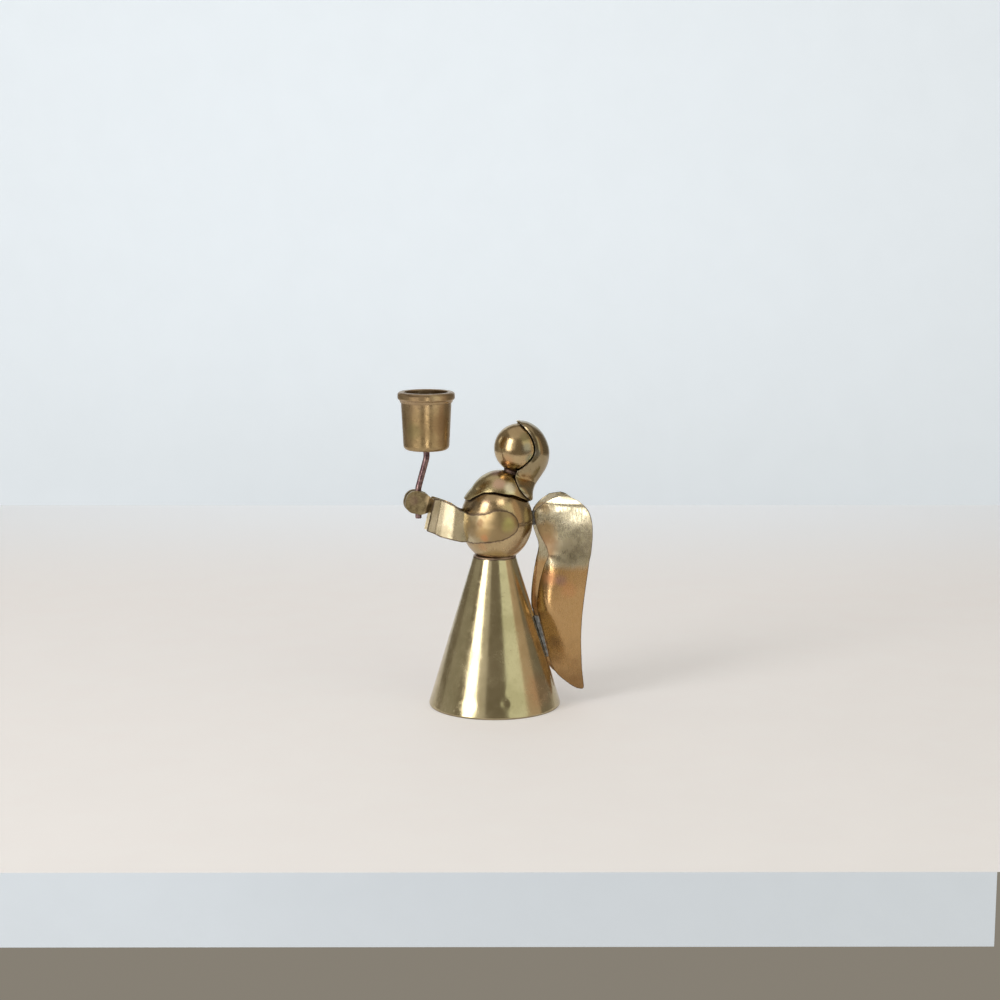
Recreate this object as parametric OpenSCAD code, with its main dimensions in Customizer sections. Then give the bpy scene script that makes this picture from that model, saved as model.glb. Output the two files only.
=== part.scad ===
// Standing angel that holds up a taper candle. Brass sheet, hollow brass balls and a bent rod,
// soldered together. The angel faces -Y, +Z is up, and the origin is the middle of the floor ring.

/* [Skirt] */
// Height of the skirt cone
skirt_h = 78.7; // [60:0.1:100]
// Outside radius of the skirt just above its floor ring
skirt_base_r = 34.4; // [29:0.1:40]
// Outside radius of the skirt at the waist
skirt_top_r = 11.1; // [10.4:0.1:13]
// Thickness of the skirt sheet, measured level
skirt_wall = 0.7; // [0.5:0.05:1]
// Height of the burnished ring at the floor
rim_h = 1.0; // [0.6:0.1:3]
// How far the burnished ring is turned in
rim_tuck = 0.3; // [0.1:0.05:1]

/* [Body] */
// Radius of the egg-shaped body at its middle
body_r = 18.75; // [17:0.05:21]
// Half the height of the egg
body_half_h = 21.5; // [20:0.1:24]
// How far the egg sits behind the axis of the skirt
body_back = 1.0; // [0:0.1:1.2]
// Thickness of the two shells of the egg
body_wall = 0.8; // [0.5:0.05:1.5]
// Radius of the hole that let the air out of the body and the head
vent_r = 2.5; // [1:0.1:3]

/* [Head and neck] */
// Radius of the ball
head_r = 12.75; // [11:0.05:14.5]
// Thickness of the ball
head_wall = 0.8; // [0.5:0.05:1.5]
// How far the neck leans back from upright, in degrees
neck_lean = 17.3; // [14:0.1:20]
// Shortest distance between the egg and the ball
neck_h = 5.3; // [4.8:0.1:7]
// Radius of the solder column in the neck
neck_r = 4.2; // [3.4:0.1:4.8]

/* [Hair] */
// Thickness of the hair sheet
hair_t = 0.6; // [0.4:0.05:0.8]
// Radius of the solder plug between the ball and the hair
hair_plug_r = 3.2; // [2:0.1:4]

/* [Cape] */
// Thickness of the cape sheet
cape_t = 0.5; // [0.4:0.05:0.8]
// Extra height of the cape round the neck
cape_crown = 4.0; // [3:0.1:5]

/* [Arms] */
// Thickness of the sleeve sheet
sleeve_t = 0.7; // [0.5:0.05:0.9]
// Width of a sleeve at its elbow
sleeve_w = 16.2; // [14:0.1:18]
// Length of the forearms, from the front of the body to the middle of the cuffs
forearm_l = 16.5; // [14:0.1:20]
// Width over both sleeves where they leave the body
elbow_spread = 12.6; // [11:0.1:14]
// How far the upper arms bulge out from the body
sleeve_bulge = 1.0; // [0.5:0.1:2]
// Width over both sleeves at the pinch behind the cuffs
pinch_spread = 5.6; // [5.4:0.1:6.4]
// Width over both cuffs at their open ends
cuff_spread = 8.6; // [8:0.1:11]
// Thickness of a hand plate
hand_t = 1.8; // [1.2:0.1:2.2]
// Height of a hand at its rounded front
hand_h = 11.8; // [10:0.1:13]
// Length of the hands, from the wrist to the rounded front
hand_l = 13.7; // [12.5:0.1:16]
// How far the hands rise to the front, in degrees
hand_rise = 16; // [10:0.5:22]

/* [Candle cup and stem] */
// Radius of the bore for a 22 mm taper candle
bore_r = 11.2; // [10.5:0.05:11.5]
// Depth of the bore
bore_depth = 23; // [18:0.5:25]
// Height of the cup
cup_h = 29.8; // [28:0.1:36]
// Outside radius of the cup just under its lip
cup_top_r = 12.9; // [12.5:0.05:14]
// Outside radius of the cup where its bottom corner starts
cup_bottom_r = 11.8; // [11.4:0.05:12.5]
// Radius of the bottom corner of the cup
cup_corner_r = 2.5; // [1.5:0.1:4]
// Outside radius of the lip
lip_r = 14.65; // [14.1:0.05:16]
// Height of the lip
lip_h = 5.4; // [4:0.1:7]
// Radius of the rod
stem_r = 1.6; // [1.2:0.05:1.7]
// Length of rod that shows under the hands
stem_tail = 2.4; // [1:0.1:6]
// Height of the bottom of the cup over the middle of the hands
stem_rise = 27.1; // [20:0.1:32]
// How far the cup stands behind the lower end of the rod
stem_jog = 4.4; // [3:0.1:5.5]
// Radius of the two bends in the rod
stem_bend_r = 8; // [5:0.1:10]

/* [Wings] */
// Thickness of the wing sheet
wing_t = 0.8; // [0.5:0.05:1]
// Height of the top of the wings over the middle of the body
wing_rise = 12.9; // [9:0.1:16]
// Height of the wing tips over the floor
wing_tip_z = 7.0; // [4:0.1:10]
// Farthest reach of the wings behind the axis of the skirt
wing_reach = 48.7; // [45:0.1:54]
// Widest distance of a wing from the middle plane
wing_spread = 17; // [15:0.1:20]

/* [Hidden] */
// Gap that the solder film takes up between two curved faces
film = 0.1;
// Gap between a sheet that wraps a curved piece and that piece
wrap_gap = 0.2;
// Length by which a cut runs past what it cuts
overrun = 1;
// Segments of a turned piece, and of an arc of the egg's outline
turned_fn = 96;
egg_steps = 36;
brass = [0.71, 0.60, 0.36];
dull_brass = [0.60, 0.50, 0.30];
solder = [0.45, 0.45, 0.45];
copper = [0.50, 0.33, 0.33];

// The egg sits in the waist: its radius level with the top of the skirt
seat_r = skirt_top_r - skirt_wall - body_back - film;
body_z = skirt_h + body_half_h * sqrt(1 - pow(seat_r / body_r, 2));
neck_dir = [0, sin(neck_lean), cos(neck_lean)];
egg_reach = 1 / sqrt(pow(sin(neck_lean) / body_r, 2) + pow(cos(neck_lean) / body_half_h, 2));
body_c = [0, body_back, body_z];
head_c = body_c + (egg_reach + neck_h + head_r) * neck_dir;
body_front = body_back - body_r;

function lerp(a, b, s) = a + (b - a) * s;
// Smooth curve through rows of numbers: u runs from 0 to the last row
function smooth_row(rows, u) = let(
    last = len(rows) - 1,
    i = min(floor(u), last - 1),
    s = u - i,
    a = rows[max(i - 1, 0)],
    b = rows[i],
    c = rows[i + 1],
    d = rows[min(i + 2, last)])
    0.5 * (2 * b + (c - a) * s + (2 * a - 5 * b + 4 * c - d) * s * s
        + (3 * b - 3 * c + d - a) * s * s * s);
// Straight lines through [x, y] rows
function piecewise(rows, x) = let(
    i = max([for (k = [0:len(rows) - 2]) if (x >= rows[k][0]) k]),
    s = (x - rows[i][0]) / (rows[i + 1][0] - rows[i][0]))
    lerp(rows[i][1], rows[i + 1][1], s);

// A sheet: the grid is its outer face, and the inner face lies t further in.
// A ring grid closes on itself from its last row to its first.
function grid_normal(g, i, j, ring) = let(
    m = len(g),
    n = len(g[0]) - 1,
    up = ring ? g[(i + 1) % m][j] : g[min(i + 1, m - 1)][j],
    down = ring ? g[(i + m - 1) % m][j] : g[max(i - 1, 0)][j],
    c = cross(up - down, g[i][min(j + 1, n)] - g[i][max(j - 1, 0)]))
    c / norm(c);
module sheet(g, t, ring = false) {
    m = len(g);
    n = len(g[0]);
    inner = [for (i = [0:m - 1]) [for (j = [0:n - 1]) g[i][j] - t * grid_normal(g, i, j, ring)]];
    points = concat([for (row = g) each row], [for (row = inner) each row]);
    k = m * n;
    rows = ring ? m : m - 1;
    function at(i, j) = (i % m) * n + j;
    faces = [
        for (i = [0:rows - 1]) for (j = [0:n - 2]) let(
            a = at(i, j), b = at(i + 1, j), c = at(i + 1, j + 1), d = at(i, j + 1))
            each [[a, c, b], [a, d, c], [a + k, b + k, c + k], [a + k, c + k, d + k]],
        for (i = [0:rows - 1]) for (j = [0, n - 1]) let(
            a = at(i, j), b = at(i + 1, j))
            each j == 0 ? [[a, b, b + k], [a, b + k, a + k]] : [[a, b + k, b], [a, a + k, b + k]],
        if (!ring) for (j = [0:n - 2]) for (i = [0, m - 1]) let(
            a = at(i, j), d = at(i, j + 1))
            each i == 0 ? [[a, d + k, d], [a, a + k, d + k]] : [[a, d, d + k], [a, d + k, a + k]]
    ];
    polyhedron(points, faces, convexity = 8);
}

// Skirt
function skirt_r_at(z) = lerp(skirt_base_r, skirt_top_r, (z - rim_h) / (skirt_h - rim_h));
rim_steps = 5;
rim_outline = [for (i = [0:rim_steps]) let(a = 90 * i / rim_steps)
    [skirt_base_r - rim_tuck * (1 - sin(a)), rim_h * (1 - cos(a))]];
module skirt() {
    inner = [for (i = [rim_steps:-1:0]) [rim_outline[i][0] - skirt_wall, rim_outline[i][1]]];
    color(brass)
        rotate_extrude($fn = turned_fn)
            polygon([each rim_outline, [skirt_top_r, skirt_h], [skirt_top_r - skirt_wall, skirt_h],
                each inner]);
}

// Egg of the body
function egg_r_at(z) = body_r * sqrt(max(0, 1 - pow((z - body_z) / body_half_h, 2)));
function egg_arc(grow, from, to) = [for (i = [0:egg_steps]) let(a = lerp(from, to, i / egg_steps))
    [(body_r + grow) * cos(a), (body_half_h + grow) * sin(a)]];
module egg(grow) {
    translate(body_c)
        rotate_extrude($fn = turned_fn)
            polygon(egg_arc(grow, -90, 90));
}
module body_lower_shell() {
    vent_a = asin(vent_r / body_r) - 90;
    color(brass)
        translate(body_c)
            rotate_extrude($fn = turned_fn)
                polygon([each egg_arc(0, vent_a, 0), each egg_arc(-body_wall, 0, vent_a)]);
}
module body_upper_shell() {
    color(brass)
        translate(body_c)
            rotate_extrude($fn = turned_fn)
                polygon([each egg_arc(0, 0, 90), each egg_arc(-body_wall, 90, 0)]);
}

// Solder bead on the top edge of the skirt, in the corner under the egg
waist_bead_h = skirt_wall;
module waist_solder() {
    color(solder)
        difference() {
            translate([0, 0, skirt_h])
                cylinder(r1 = skirt_top_r, r2 = skirt_top_r - film, h = waist_bead_h, $fn = turned_fn);
            egg(film);
        }
}

// Head: a hollow ball, vented at the neck
module head() {
    color(brass)
        difference() {
            translate(head_c) sphere(r = head_r, $fn = turned_fn);
            translate(head_c) sphere(r = head_r - head_wall, $fn = turned_fn);
            translate(head_c) rotate([-neck_lean, 0, 0]) translate([0, 0, -head_r - overrun])
                cylinder(r = vent_r, h = head_r, $fn = turned_fn);
        }
}
module neck_solder() {
    color(solder)
        difference() {
            translate(body_c) rotate([-neck_lean, 0, 0]) translate([0, 0, egg_reach - neck_r])
                cylinder(r = neck_r, h = neck_r + neck_h + head_r / 2, $fn = turned_fn);
            egg(film);
            translate(head_c) sphere(r = head_r + film, $fn = turned_fn);
        }
}

// Cape: a dome over the egg, open round the neck and pointed at the front and the back.
// Places on it are polar: degrees down from the top, and degrees round from the front.
cape_edge_shares = [[0, 58.5], [20, 58.3], [32, 50.5], [50, 42.5], [75, 42], [95, 46], [112, 48.5],
    [130, 55], [150, 61], [180, 64.5]];
neck_polar = atan(tan(neck_lean) * body_half_h / body_r);
cape_lift = cape_t + wrap_gap;
// Gap round the solder of the neck
neck_clear = 0.5;
cape_hole_polar = asin((neck_r + neck_clear) / (body_r + cape_lift + cape_crown));
cape_rings = 48;
cape_cols = 7;
// The crown is highest at the neck and fades to nothing where crown_span times the angle from the
// neck reaches 90 degrees. It falls off faster to the sides and fastest behind the neck.
crown_span = 1.5;
crown_side_pull = 1.15;
crown_back_pull = 1.4;
function crown_at(flat) = let(
    behind = flat[1] - neck_polar,
    away = norm([flat[0] * crown_side_pull, behind > 0 ? behind * crown_back_pull : behind]))
    cape_crown * max(0, cos(crown_span * away));
// Place on the dome, or that far off it
function dome_point(polar, round, off = 0) = let(
    lift = cape_lift + crown_at(polar * [sin(round), -cos(round)]) + off)
    body_c + [(body_r + lift) * sin(polar) * sin(round), -(body_r + lift) * sin(polar) * cos(round),
        (body_half_h + lift) * cos(polar)];
function cape_point(i, j) = let(
    round = 360 * i / cape_rings,
    edge = piecewise(cape_edge_shares, min(round, 360 - round)),
    hole = cape_hole_polar * [sin(round), -cos(round)] + [0, neck_polar],
    rim = edge * [sin(round), -cos(round)],
    flat = lerp(hole, rim, j / cape_cols))
    dome_point(norm(flat), atan2(flat[0], -flat[1]));
module cape() {
    grid = [for (i = [0:cape_rings - 1]) [for (j = [0:cape_cols]) cape_point(i, j)]];
    color(brass) sheet(grid, cape_t, ring = true);
}

// Hair: rows run from over the forehead, down the back, to the point on the cape.
// Middle line [y, z] and side edge [x, y, z] from the middle of the ball, as shares of its radius.
hair_line_shares = [[0.04, 1.06], [0.34, 1.03], [0.70, 0.83], [0.98, 0.51], [1.17, 0.06],
    [1.20, -0.34], [1.11, -0.75], [0.88, -1.14], [0.72, -1.38], [0.64, -1.50]];
hair_edge_shares = [[0.14, -0.02, 1.07], [0.49, 0.09, 0.98], [0.73, 0.24, 0.79], [0.91, 0.42, 0.46],
    [0.98, 0.49, 0.04], [0.98, 0.43, -0.23], [0.92, 0.18, -0.53], [0.76, -0.08, -0.81],
    [0.63, -0.26, -1.03]];
// The tail lies on the cape. Middle line: degrees down from the top of the dome, and how far it
// stands off as a share of the ball's radius. Side edge: degrees down and degrees round.
tail_line_shares = [[52.3, 0.16], [54.0, 0.09], [56.3, 0.04], [59.2, 0.01], [62.1, 0]];
tail_edge_shares = [[33.1, 129.9], [42.0, 127.2], [49.8, 132.8], [56.0, 142.5], [60.0, 155.0],
    [62.0, 170.0]];
tail_lift = hair_t + 1.5 * wrap_gap;
hair_line = concat([for (s = hair_line_shares) head_c + head_r * [0, s[0], s[1]]],
    [for (s = tail_line_shares) dome_point(s[0], 180, tail_lift + s[1] * head_r)]);
hair_edge = concat([for (s = hair_edge_shares) head_c + head_r * s],
    [for (s = tail_edge_shares) dome_point(s[0], s[1], tail_lift)]);
hair_rows = 29;
hair_cols = 12;
function hair_point(i, j) = let(
    u = (len(hair_line) - 1) * i / (hair_rows - 1),
    m = smooth_row(hair_line, u),
    e = smooth_row(hair_edge, u),
    a = lerp(-90, 90, j / hair_cols))
    [e[0] * sin(a), lerp(e[1], m[1], cos(a)), lerp(e[2], m[2], cos(a))];
module hair() {
    grid = [for (i = [0:hair_rows - 1]) [for (j = [0:hair_cols]) hair_point(i, j)]];
    color(brass) sheet(grid, hair_t);
}
// The plug stands level, where the hair is farthest behind the ball, and clears the hair's curve
hair_plug_drop = 0.22 * head_r;
hair_plug_reach = 1.235 * head_r - pow(hair_plug_r, 2) / (2.4 * head_r) - hair_t - 2 * film;
module hair_solder() {
    color(solder)
        difference() {
            translate(head_c - [0, 0, hair_plug_drop]) rotate([-90, 0, 0])
                cylinder(r = hair_plug_r, h = hair_plug_reach, $fn = turned_fn);
            translate(head_c) sphere(r = head_r + film, $fn = turned_fn);
        }
}

// Sleeve: forearm rows from the cuff back to the body, then rows round the egg to the shoulder.
// Forearm row: bottom [forward, up] and top [forward, up] from the front of the body, as shares of
// the forearm's length and the sleeve's width, and which spread it follows.
forearm_shares = [
    [[1.12, -0.23], [0.88, 0.81], 0],
    [[1.03, -0.27], [0.81, 0.80], 1],
    [[0.88, -0.34], [0.65, 0.75], 2],
    [[0.70, -0.44], [0.51, 0.69], 3],
    [[0.35, -0.53], [0.25, 0.56], 4],
    [[0.06, -0.60], [0.04, 0.41], 5]];
sleeve_spreads = [cuff_spread, lerp(pinch_spread, cuff_spread, 0.7), pinch_spread,
    lerp(pinch_spread, elbow_spread, 0.25), lerp(pinch_spread, elbow_spread, 0.62), elbow_spread];
// Upper arm row: degrees back from straight ahead, bottom and top as shares of the sleeve's width
upper_arm_shares = [[19, -0.61, 0.37], [30, -0.605, 0.33], [45, -0.58, 0.35], [62, -0.54, 0.40],
    [74, -0.50, 0.49], [87, -0.455, 0.50], [97, -0.37, 0.455], [106, -0.26, 0.34],
    [110.5, -0.16, 0.22], [113, -0.07, 0.07]];
sleeve_cols = 7;
upper_rows = 18;
function egg_skin(round, z, grow) = let(
    r = (body_r + grow) * sqrt(1 - pow(z / (body_half_h + grow), 2)))
    body_c + [r * sin(round), -r * cos(round), z];
function forearm_point(row, j) = let(
    s = j / sleeve_cols,
    along = lerp(row[0][0], row[1][0], s) * forearm_l,
    rise = lerp(row[0][1], row[1][1], s) * sleeve_w)
    [sleeve_spreads[row[2]] / 2, body_front - along, body_z + rise];
function upper_arm_point(i, j) = let(
    row = smooth_row(upper_arm_shares, (len(upper_arm_shares) - 1) * i / (upper_rows - 1)),
    bulge = sleeve_bulge * sin(180 * i / (upper_rows - 1)) * sin(180 * j / sleeve_cols))
    egg_skin(row[0], lerp(row[1], row[2], j / sleeve_cols) * sleeve_w, sleeve_t + wrap_gap + bulge);
module left_sleeve() {
    grid = [
        for (row = forearm_shares) [for (j = [0:sleeve_cols]) forearm_point(row, j)],
        for (i = [0:upper_rows - 1]) [for (j = [0:sleeve_cols]) upper_arm_point(i, j)]];
    color(brass) sheet(grid, sleeve_t);
}
module right_sleeve() {
    mirror([1, 0, 0]) left_sleeve();
}

// Hands: drawn in a level frame whose origin is the middle of the wrist, then tilted up.
// Forward is -Y. Two plates bend apart at the wrist and hold the rod between them.
hand_gap = 2 * (stem_r + film);
tail_x = film;
wrist_l = 3;
wrist_h = 0.6 * hand_h;
tail_l = 0.3 * forearm_l;
wrist_c = [0, body_front - 0.97 * forearm_l, body_z + 0.56 * sleeve_w];
grip_l = 0.474 * hand_l;
hand_mid = wrist_c + [0, -grip_l * cos(hand_rise), grip_l * sin(hand_rise)];
front_r = 0.44 * hand_h;
heel_r = 0.08 * hand_h;
// Outline of the rounded plate, [forward, up]
module hand_outline(inset) {
    hull() {
        for (up = [-1, 1])
            translate([hand_l - front_r, up * (hand_h / 2 - front_r)]) circle(r = front_r - inset, $fn = 32);
        for (up = [-1, 1])
            translate([wrist_l + heel_r, up * (hand_h * 0.47 - heel_r)])
                circle(r = max(heel_r - inset, film), $fn = 16);
    }
}
module hand_frame() {
    translate(wrist_c) rotate([-hand_rise, 0, 0]) children();
}
// Plate lying in the plane of the arm, from x to x + t
module side_plate(x, t) {
    translate([x, 0, 0]) rotate([90, 0, -90]) mirror([0, 0, 1]) linear_extrude(t) children();
}
module left_hand() {
    color(dull_brass) hand_frame() {
        side_plate(hand_gap / 2, hand_t) hand_outline(0);
        hull() {
            side_plate(hand_gap / 2, hand_t)
                translate([wrist_l, -wrist_h / 2 - heel_r]) square([heel_r, wrist_h + 2 * heel_r]);
            side_plate(tail_x, hand_t)
                translate([-heel_r, -wrist_h / 2]) square([heel_r, wrist_h]);
        }
        side_plate(tail_x, hand_t)
            translate([-tail_l, -wrist_h / 2]) square([tail_l, wrist_h]);
    }
}
module right_hand() {
    mirror([1, 0, 0]) left_hand();
}
module hand_solder() {
    color(solder)
        difference() {
            hand_frame() side_plate(-stem_r, 2 * stem_r) hand_outline(heel_r);
            translate([0, hand_mid[1], hand_mid[2] - hand_h])
                cylinder(r = stem_r + film, h = 2 * hand_h, $fn = turned_fn);
        }
}

// Stem: upright through the hands, over two equal bends, and upright again under the cup
stem_low_z = hand_mid[2] - hand_h / 2 - stem_tail;
cup_z = hand_mid[2] + stem_rise;
cup_c = [0, hand_mid[1] + stem_jog, cup_z];
// The slanted run and its two bends share the height between these two places
jog_start_z = lerp(hand_mid[2] + hand_h / 2, cup_z, 0.02);
jog_end_z = lerp(hand_mid[2] + hand_h / 2, cup_z, 0.86);
jog_h = jog_end_z - jog_start_z;
// Lean of the slanted run, from the height and the side step that two bends and a straight take
jog_side = stem_jog - 2 * stem_bend_r;
jog_lean = atan2(jog_h, -jog_side) - acos(min(1, 2 * stem_bend_r / norm([jog_h, jog_side])));
bend_steps = 6;
function bend_point(s) = [stem_bend_r * (1 - cos(jog_lean * s)), stem_bend_r * sin(jog_lean * s)];
stem_path = [
    [0, stem_low_z],
    for (i = [0:bend_steps]) let(p = bend_point(i / bend_steps)) [p[0], jog_start_z + p[1]],
    for (i = [bend_steps:-1:0]) let(p = bend_point(i / bend_steps)) [stem_jog - p[0], jog_end_z - p[1]],
    [stem_jog, cup_z]];
stem_lean = [0, for (i = [0:bend_steps]) jog_lean * i / bend_steps,
    for (i = [bend_steps:-1:0]) jog_lean * i / bend_steps, 0];
stem_sides = 20;
module candle_stem() {
    last = len(stem_path) - 1;
    points = [for (k = [0:last]) for (i = [0:stem_sides - 1]) let(a = 360 * i / stem_sides)
        [stem_r * cos(a), hand_mid[1] + stem_path[k][0] + stem_r * sin(a) * cos(stem_lean[k]),
            stem_path[k][1] - stem_r * sin(a) * sin(stem_lean[k])]];
    sides = [for (k = [0:last - 1]) for (i = [0:stem_sides - 1]) let(
        a = k * stem_sides + i, b = k * stem_sides + (i + 1) % stem_sides)
        each [[a, a + stem_sides, b + stem_sides], [a, b + stem_sides, b]]];
    ends = [[for (i = [0:stem_sides - 1]) i],
        [for (i = [stem_sides - 1:-1:0]) last * stem_sides + i]];
    color(copper) polyhedron(points, concat(sides, ends), convexity = 4);
}
fillet_h = 0.6 * stem_r;
module stem_solder() {
    color(solder)
        translate([0, cup_c[1], cup_z - fillet_h])
            difference() {
                cylinder(r1 = stem_r + 3 * film, r2 = 1.7 * stem_r, h = fillet_h, $fn = turned_fn);
                translate([0, 0, -overrun])
                    cylinder(r = stem_r + film, h = fillet_h + 2 * overrun, $fn = turned_fn);
            }
}

// Cup
lip_chamfer = 0.25 * lip_h;
lip_round = 0.12 * lip_h;
corner_steps = 8;
module candle_cup() {
    corner = [for (i = [0:corner_steps]) let(a = -90 + 90 * i / corner_steps)
        [cup_bottom_r - cup_corner_r * (1 - cos(a)), cup_corner_r * (1 + sin(a))]];
    color(brass)
        translate(cup_c)
            difference() {
                rotate_extrude($fn = turned_fn)
                    polygon([[0, 0], each corner, [cup_top_r, cup_h - lip_h],
                        [lip_r - lip_chamfer, cup_h - lip_h], [lip_r, cup_h - lip_h + lip_chamfer],
                        [lip_r, cup_h - lip_round], [lip_r - lip_round, cup_h], [0, cup_h]]);
                translate([0, 0, cup_h - bore_depth])
                    cylinder(r = bore_r, h = bore_depth + overrun, $fn = turned_fn);
            }
}

// Wings. Each row runs from the front edge to the back edge. Heights are shares of the distance
// from the tip up to the top. The front edge stands off the back of the figure by a share of the
// reach, the back edge lies at a share of the reach, and places to the side are shares of the spread.
// A row curves towards its pull, a place between its edges, and folds there the more the larger its
// weight is.
// [front height, front stand-off, front side, back height, back reach, back side, pull, pull side,
// weight]
wing_shares = [
    [0.995, 0.302, 0.353, 1.000, 0.754, 0.388, 0.50, 0.376, 1.0],
    [0.958, 0.137, 0.272, 0.975, 0.864, 0.741, 0.50, 0.506, 1.0],
    [0.911, 0.027, 0.145, 0.924, 0.953, 0.918, 0.50, 0.576, 1.0],
    [0.829, 0.051, 0.290, 0.840, 0.989, 0.976, 0.40, 0.641, 1.0],
    [0.738, 0.153, 0.562, 0.730, 0.975, 1.000, 0.14, 0.682, 1.0],
    [0.696, 0.167, 0.634, 0.678, 0.954, 1.000, 0.12, 0.747, 1.0],
    [0.650, 0.128, 0.553, 0.622, 0.939, 0.994, 0.12, 0.782, 1.2],
    [0.560, 0.076, 0.453, 0.526, 0.914, 0.959, 0.12, 0.812, 1.6],
    [0.470, 0.051, 0.408, 0.445, 0.899, 0.900, 0.16, 0.835, 2.2],
    [0.390, 0.054, 0.408, 0.374, 0.892, 0.829, 0.32, 0.859, 3.0],
    [0.300, 0.047, 0.399, 0.272, 0.892, 0.741, 0.50, 0.806, 3.4],
    [0.215, 0.037, 0.390, 0.177, 0.906, 0.653, 0.65, 0.718, 3.6],
    [0.150, 0.024, 0.380, 0.111, 0.919, 0.582, 0.77, 0.635, 3.6],
    [0.085, 0.057, 0.426, 0.056, 0.936, 0.529, 0.85, 0.571, 3.0],
    [0.030, 0.156, 0.462, 0.013, 0.948, 0.494, 0.88, 0.518, 2.0],
    [0.006, 0.222, 0.471, 0.001, 0.931, 0.482, 0.90, 0.488, 1.5]];
wing_steps = 2;
wing_cols = 8;
wing_top_z = body_z + wing_rise;
// Line that the front edges stand off: the back of the egg, straight down from its widest place,
// and then the skirt
function back_at(z) = max(body_back + egg_r_at(max(z, body_z)), skirt_r_at(min(z, skirt_h)));
function wing_row(u) = let(
    w = smooth_row(wing_shares, u),
    z = lerp(wing_tip_z, wing_top_z, w[0]),
    x = w[2] * wing_spread,
    r = back_at(z) + w[1] * wing_reach)
    [[x, sqrt(r * r - x * x), z],
        [w[5] * wing_spread, w[4] * wing_reach, lerp(wing_tip_z, wing_top_z, w[3])],
        w[6], w[7] * wing_spread, w[8]];
function wing_point(row, t) = let(
    pull = 2 * row[4] * t * (1 - t),
    total = pow(1 - t, 2) + pull + t * t,
    p = lerp(row[0], row[1], (pull * row[2] + t * t) / total))
    [(pow(1 - t, 2) * row[0][0] + pull * row[3] + t * t * row[1][0]) / total, p[1], p[2]];
module left_wing() {
    last = wing_steps * (len(wing_shares) - 1);
    grid = [for (i = [0:last]) let(row = wing_row(i / wing_steps))
        [for (j = [0:wing_cols]) wing_point(row, j / wing_cols)]];
    color(brass) sheet(grid, wing_t);
}
module right_wing() {
    mirror([1, 0, 0]) left_wing();
}

// Solder between the two wings and the back of the egg
root_row = wing_row(2.4);
root_w = 2 * (root_row[0][0] - wing_t) - 8 * film;
root_h = 0.075 * (wing_top_z - wing_tip_z);
module wing_root_solder() {
    color(solder)
        difference() {
            translate([-root_w / 2, body_back, root_row[0][2] - root_h / 2])
                cube([root_w, root_row[0][1] - body_back + root_w / 2, root_h]);
            egg(film);
        }
}

// Solder strips between the front edges of the wings and the skirt
// They run between these two places, as shares of the wing table from its top row to its last
strip_span_shares = [0.60, 0.773];
strip_rows = 6;
strip_w = 2.4;
module left_wing_solder() {
    sections = [for (i = [0:strip_rows]) let(
        share = lerp(strip_span_shares[0], strip_span_shares[1], i / strip_rows),
        p = wing_row(share * (len(wing_shares) - 1))[0],
        r = skirt_r_at(p[2]) + film,
        a = p[0] - wing_t - strip_w / 2,
        b = p[0] + strip_w / 2 - wing_t)
        [[a, sqrt(r * r - a * a), p[2]], [b, sqrt(r * r - b * b), p[2]],
            [b, p[1] - 2 * film, p[2]], [a, p[1] - 2 * film, p[2]]]];
    points = [for (s = sections) each s];
    sides = [for (i = [0:strip_rows - 1]) for (k = [0:3]) let(
        a = 4 * i + k, b = 4 * i + (k + 1) % 4)
        each [[a, b, b + 4], [a, b + 4, a + 4]]];
    ends = [[3, 2, 1, 0], [for (k = [0:3]) 4 * strip_rows + k]];
    color(solder) polyhedron(points, concat(sides, ends), convexity = 4);
}
module right_wing_solder() {
    mirror([1, 0, 0]) left_wing_solder();
}

skirt();
waist_solder();
body_lower_shell();
body_upper_shell();
neck_solder();
head();
hair();
hair_solder();
cape();
left_sleeve();
right_sleeve();
left_hand();
right_hand();
hand_solder();
candle_stem();
stem_solder();
candle_cup();
left_wing();
right_wing();
wing_root_solder();
left_wing_solder();
right_wing_solder();
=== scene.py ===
"""Looks of the standing brass angel with its taper-candle cup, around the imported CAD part."""

import math

import bmesh
import bpy
import numpy as np
from mathutils import Matrix, Vector, noise
from mathutils.bvhtree import BVHTree
from mathutils.kdtree import KDTree


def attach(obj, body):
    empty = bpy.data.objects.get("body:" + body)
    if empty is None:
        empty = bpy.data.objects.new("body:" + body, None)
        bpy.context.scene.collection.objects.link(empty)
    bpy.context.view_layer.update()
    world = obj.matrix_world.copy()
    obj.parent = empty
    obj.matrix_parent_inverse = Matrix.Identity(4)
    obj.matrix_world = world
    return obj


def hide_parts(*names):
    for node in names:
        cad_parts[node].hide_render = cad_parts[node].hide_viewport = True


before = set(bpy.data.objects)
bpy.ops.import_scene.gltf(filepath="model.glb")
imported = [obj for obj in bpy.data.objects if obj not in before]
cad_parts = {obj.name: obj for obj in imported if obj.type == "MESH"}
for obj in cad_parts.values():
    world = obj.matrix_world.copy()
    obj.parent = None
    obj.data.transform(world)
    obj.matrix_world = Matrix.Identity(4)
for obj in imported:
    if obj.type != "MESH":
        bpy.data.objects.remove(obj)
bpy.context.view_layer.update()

MM = 0.001
TURNED = 192  # segments of a turned piece
ROUND_SLACK = 0.9995  # keeps a finely turned piece inside the coarser one
FILM = 0.1  # mm, gap that solder takes up
WELD = 0.002  # mm, below which two points are one
EDGE_STEP = 0.25  # mm between the points that stand for a cut edge
FAR = 1.6  # mm, the most that a distance is kept as
BUMP_DEPTH, CRUST_DEPTH = 0.2, 0.3  # mm, height of the relief in brass and in solder
CRISP = math.radians(50)  # edges sharper than this are rounded
LUMP_SEED = 1  # any number but 0, so that each run gives the same lumps
noise.seed_set(LUMP_SEED)

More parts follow.
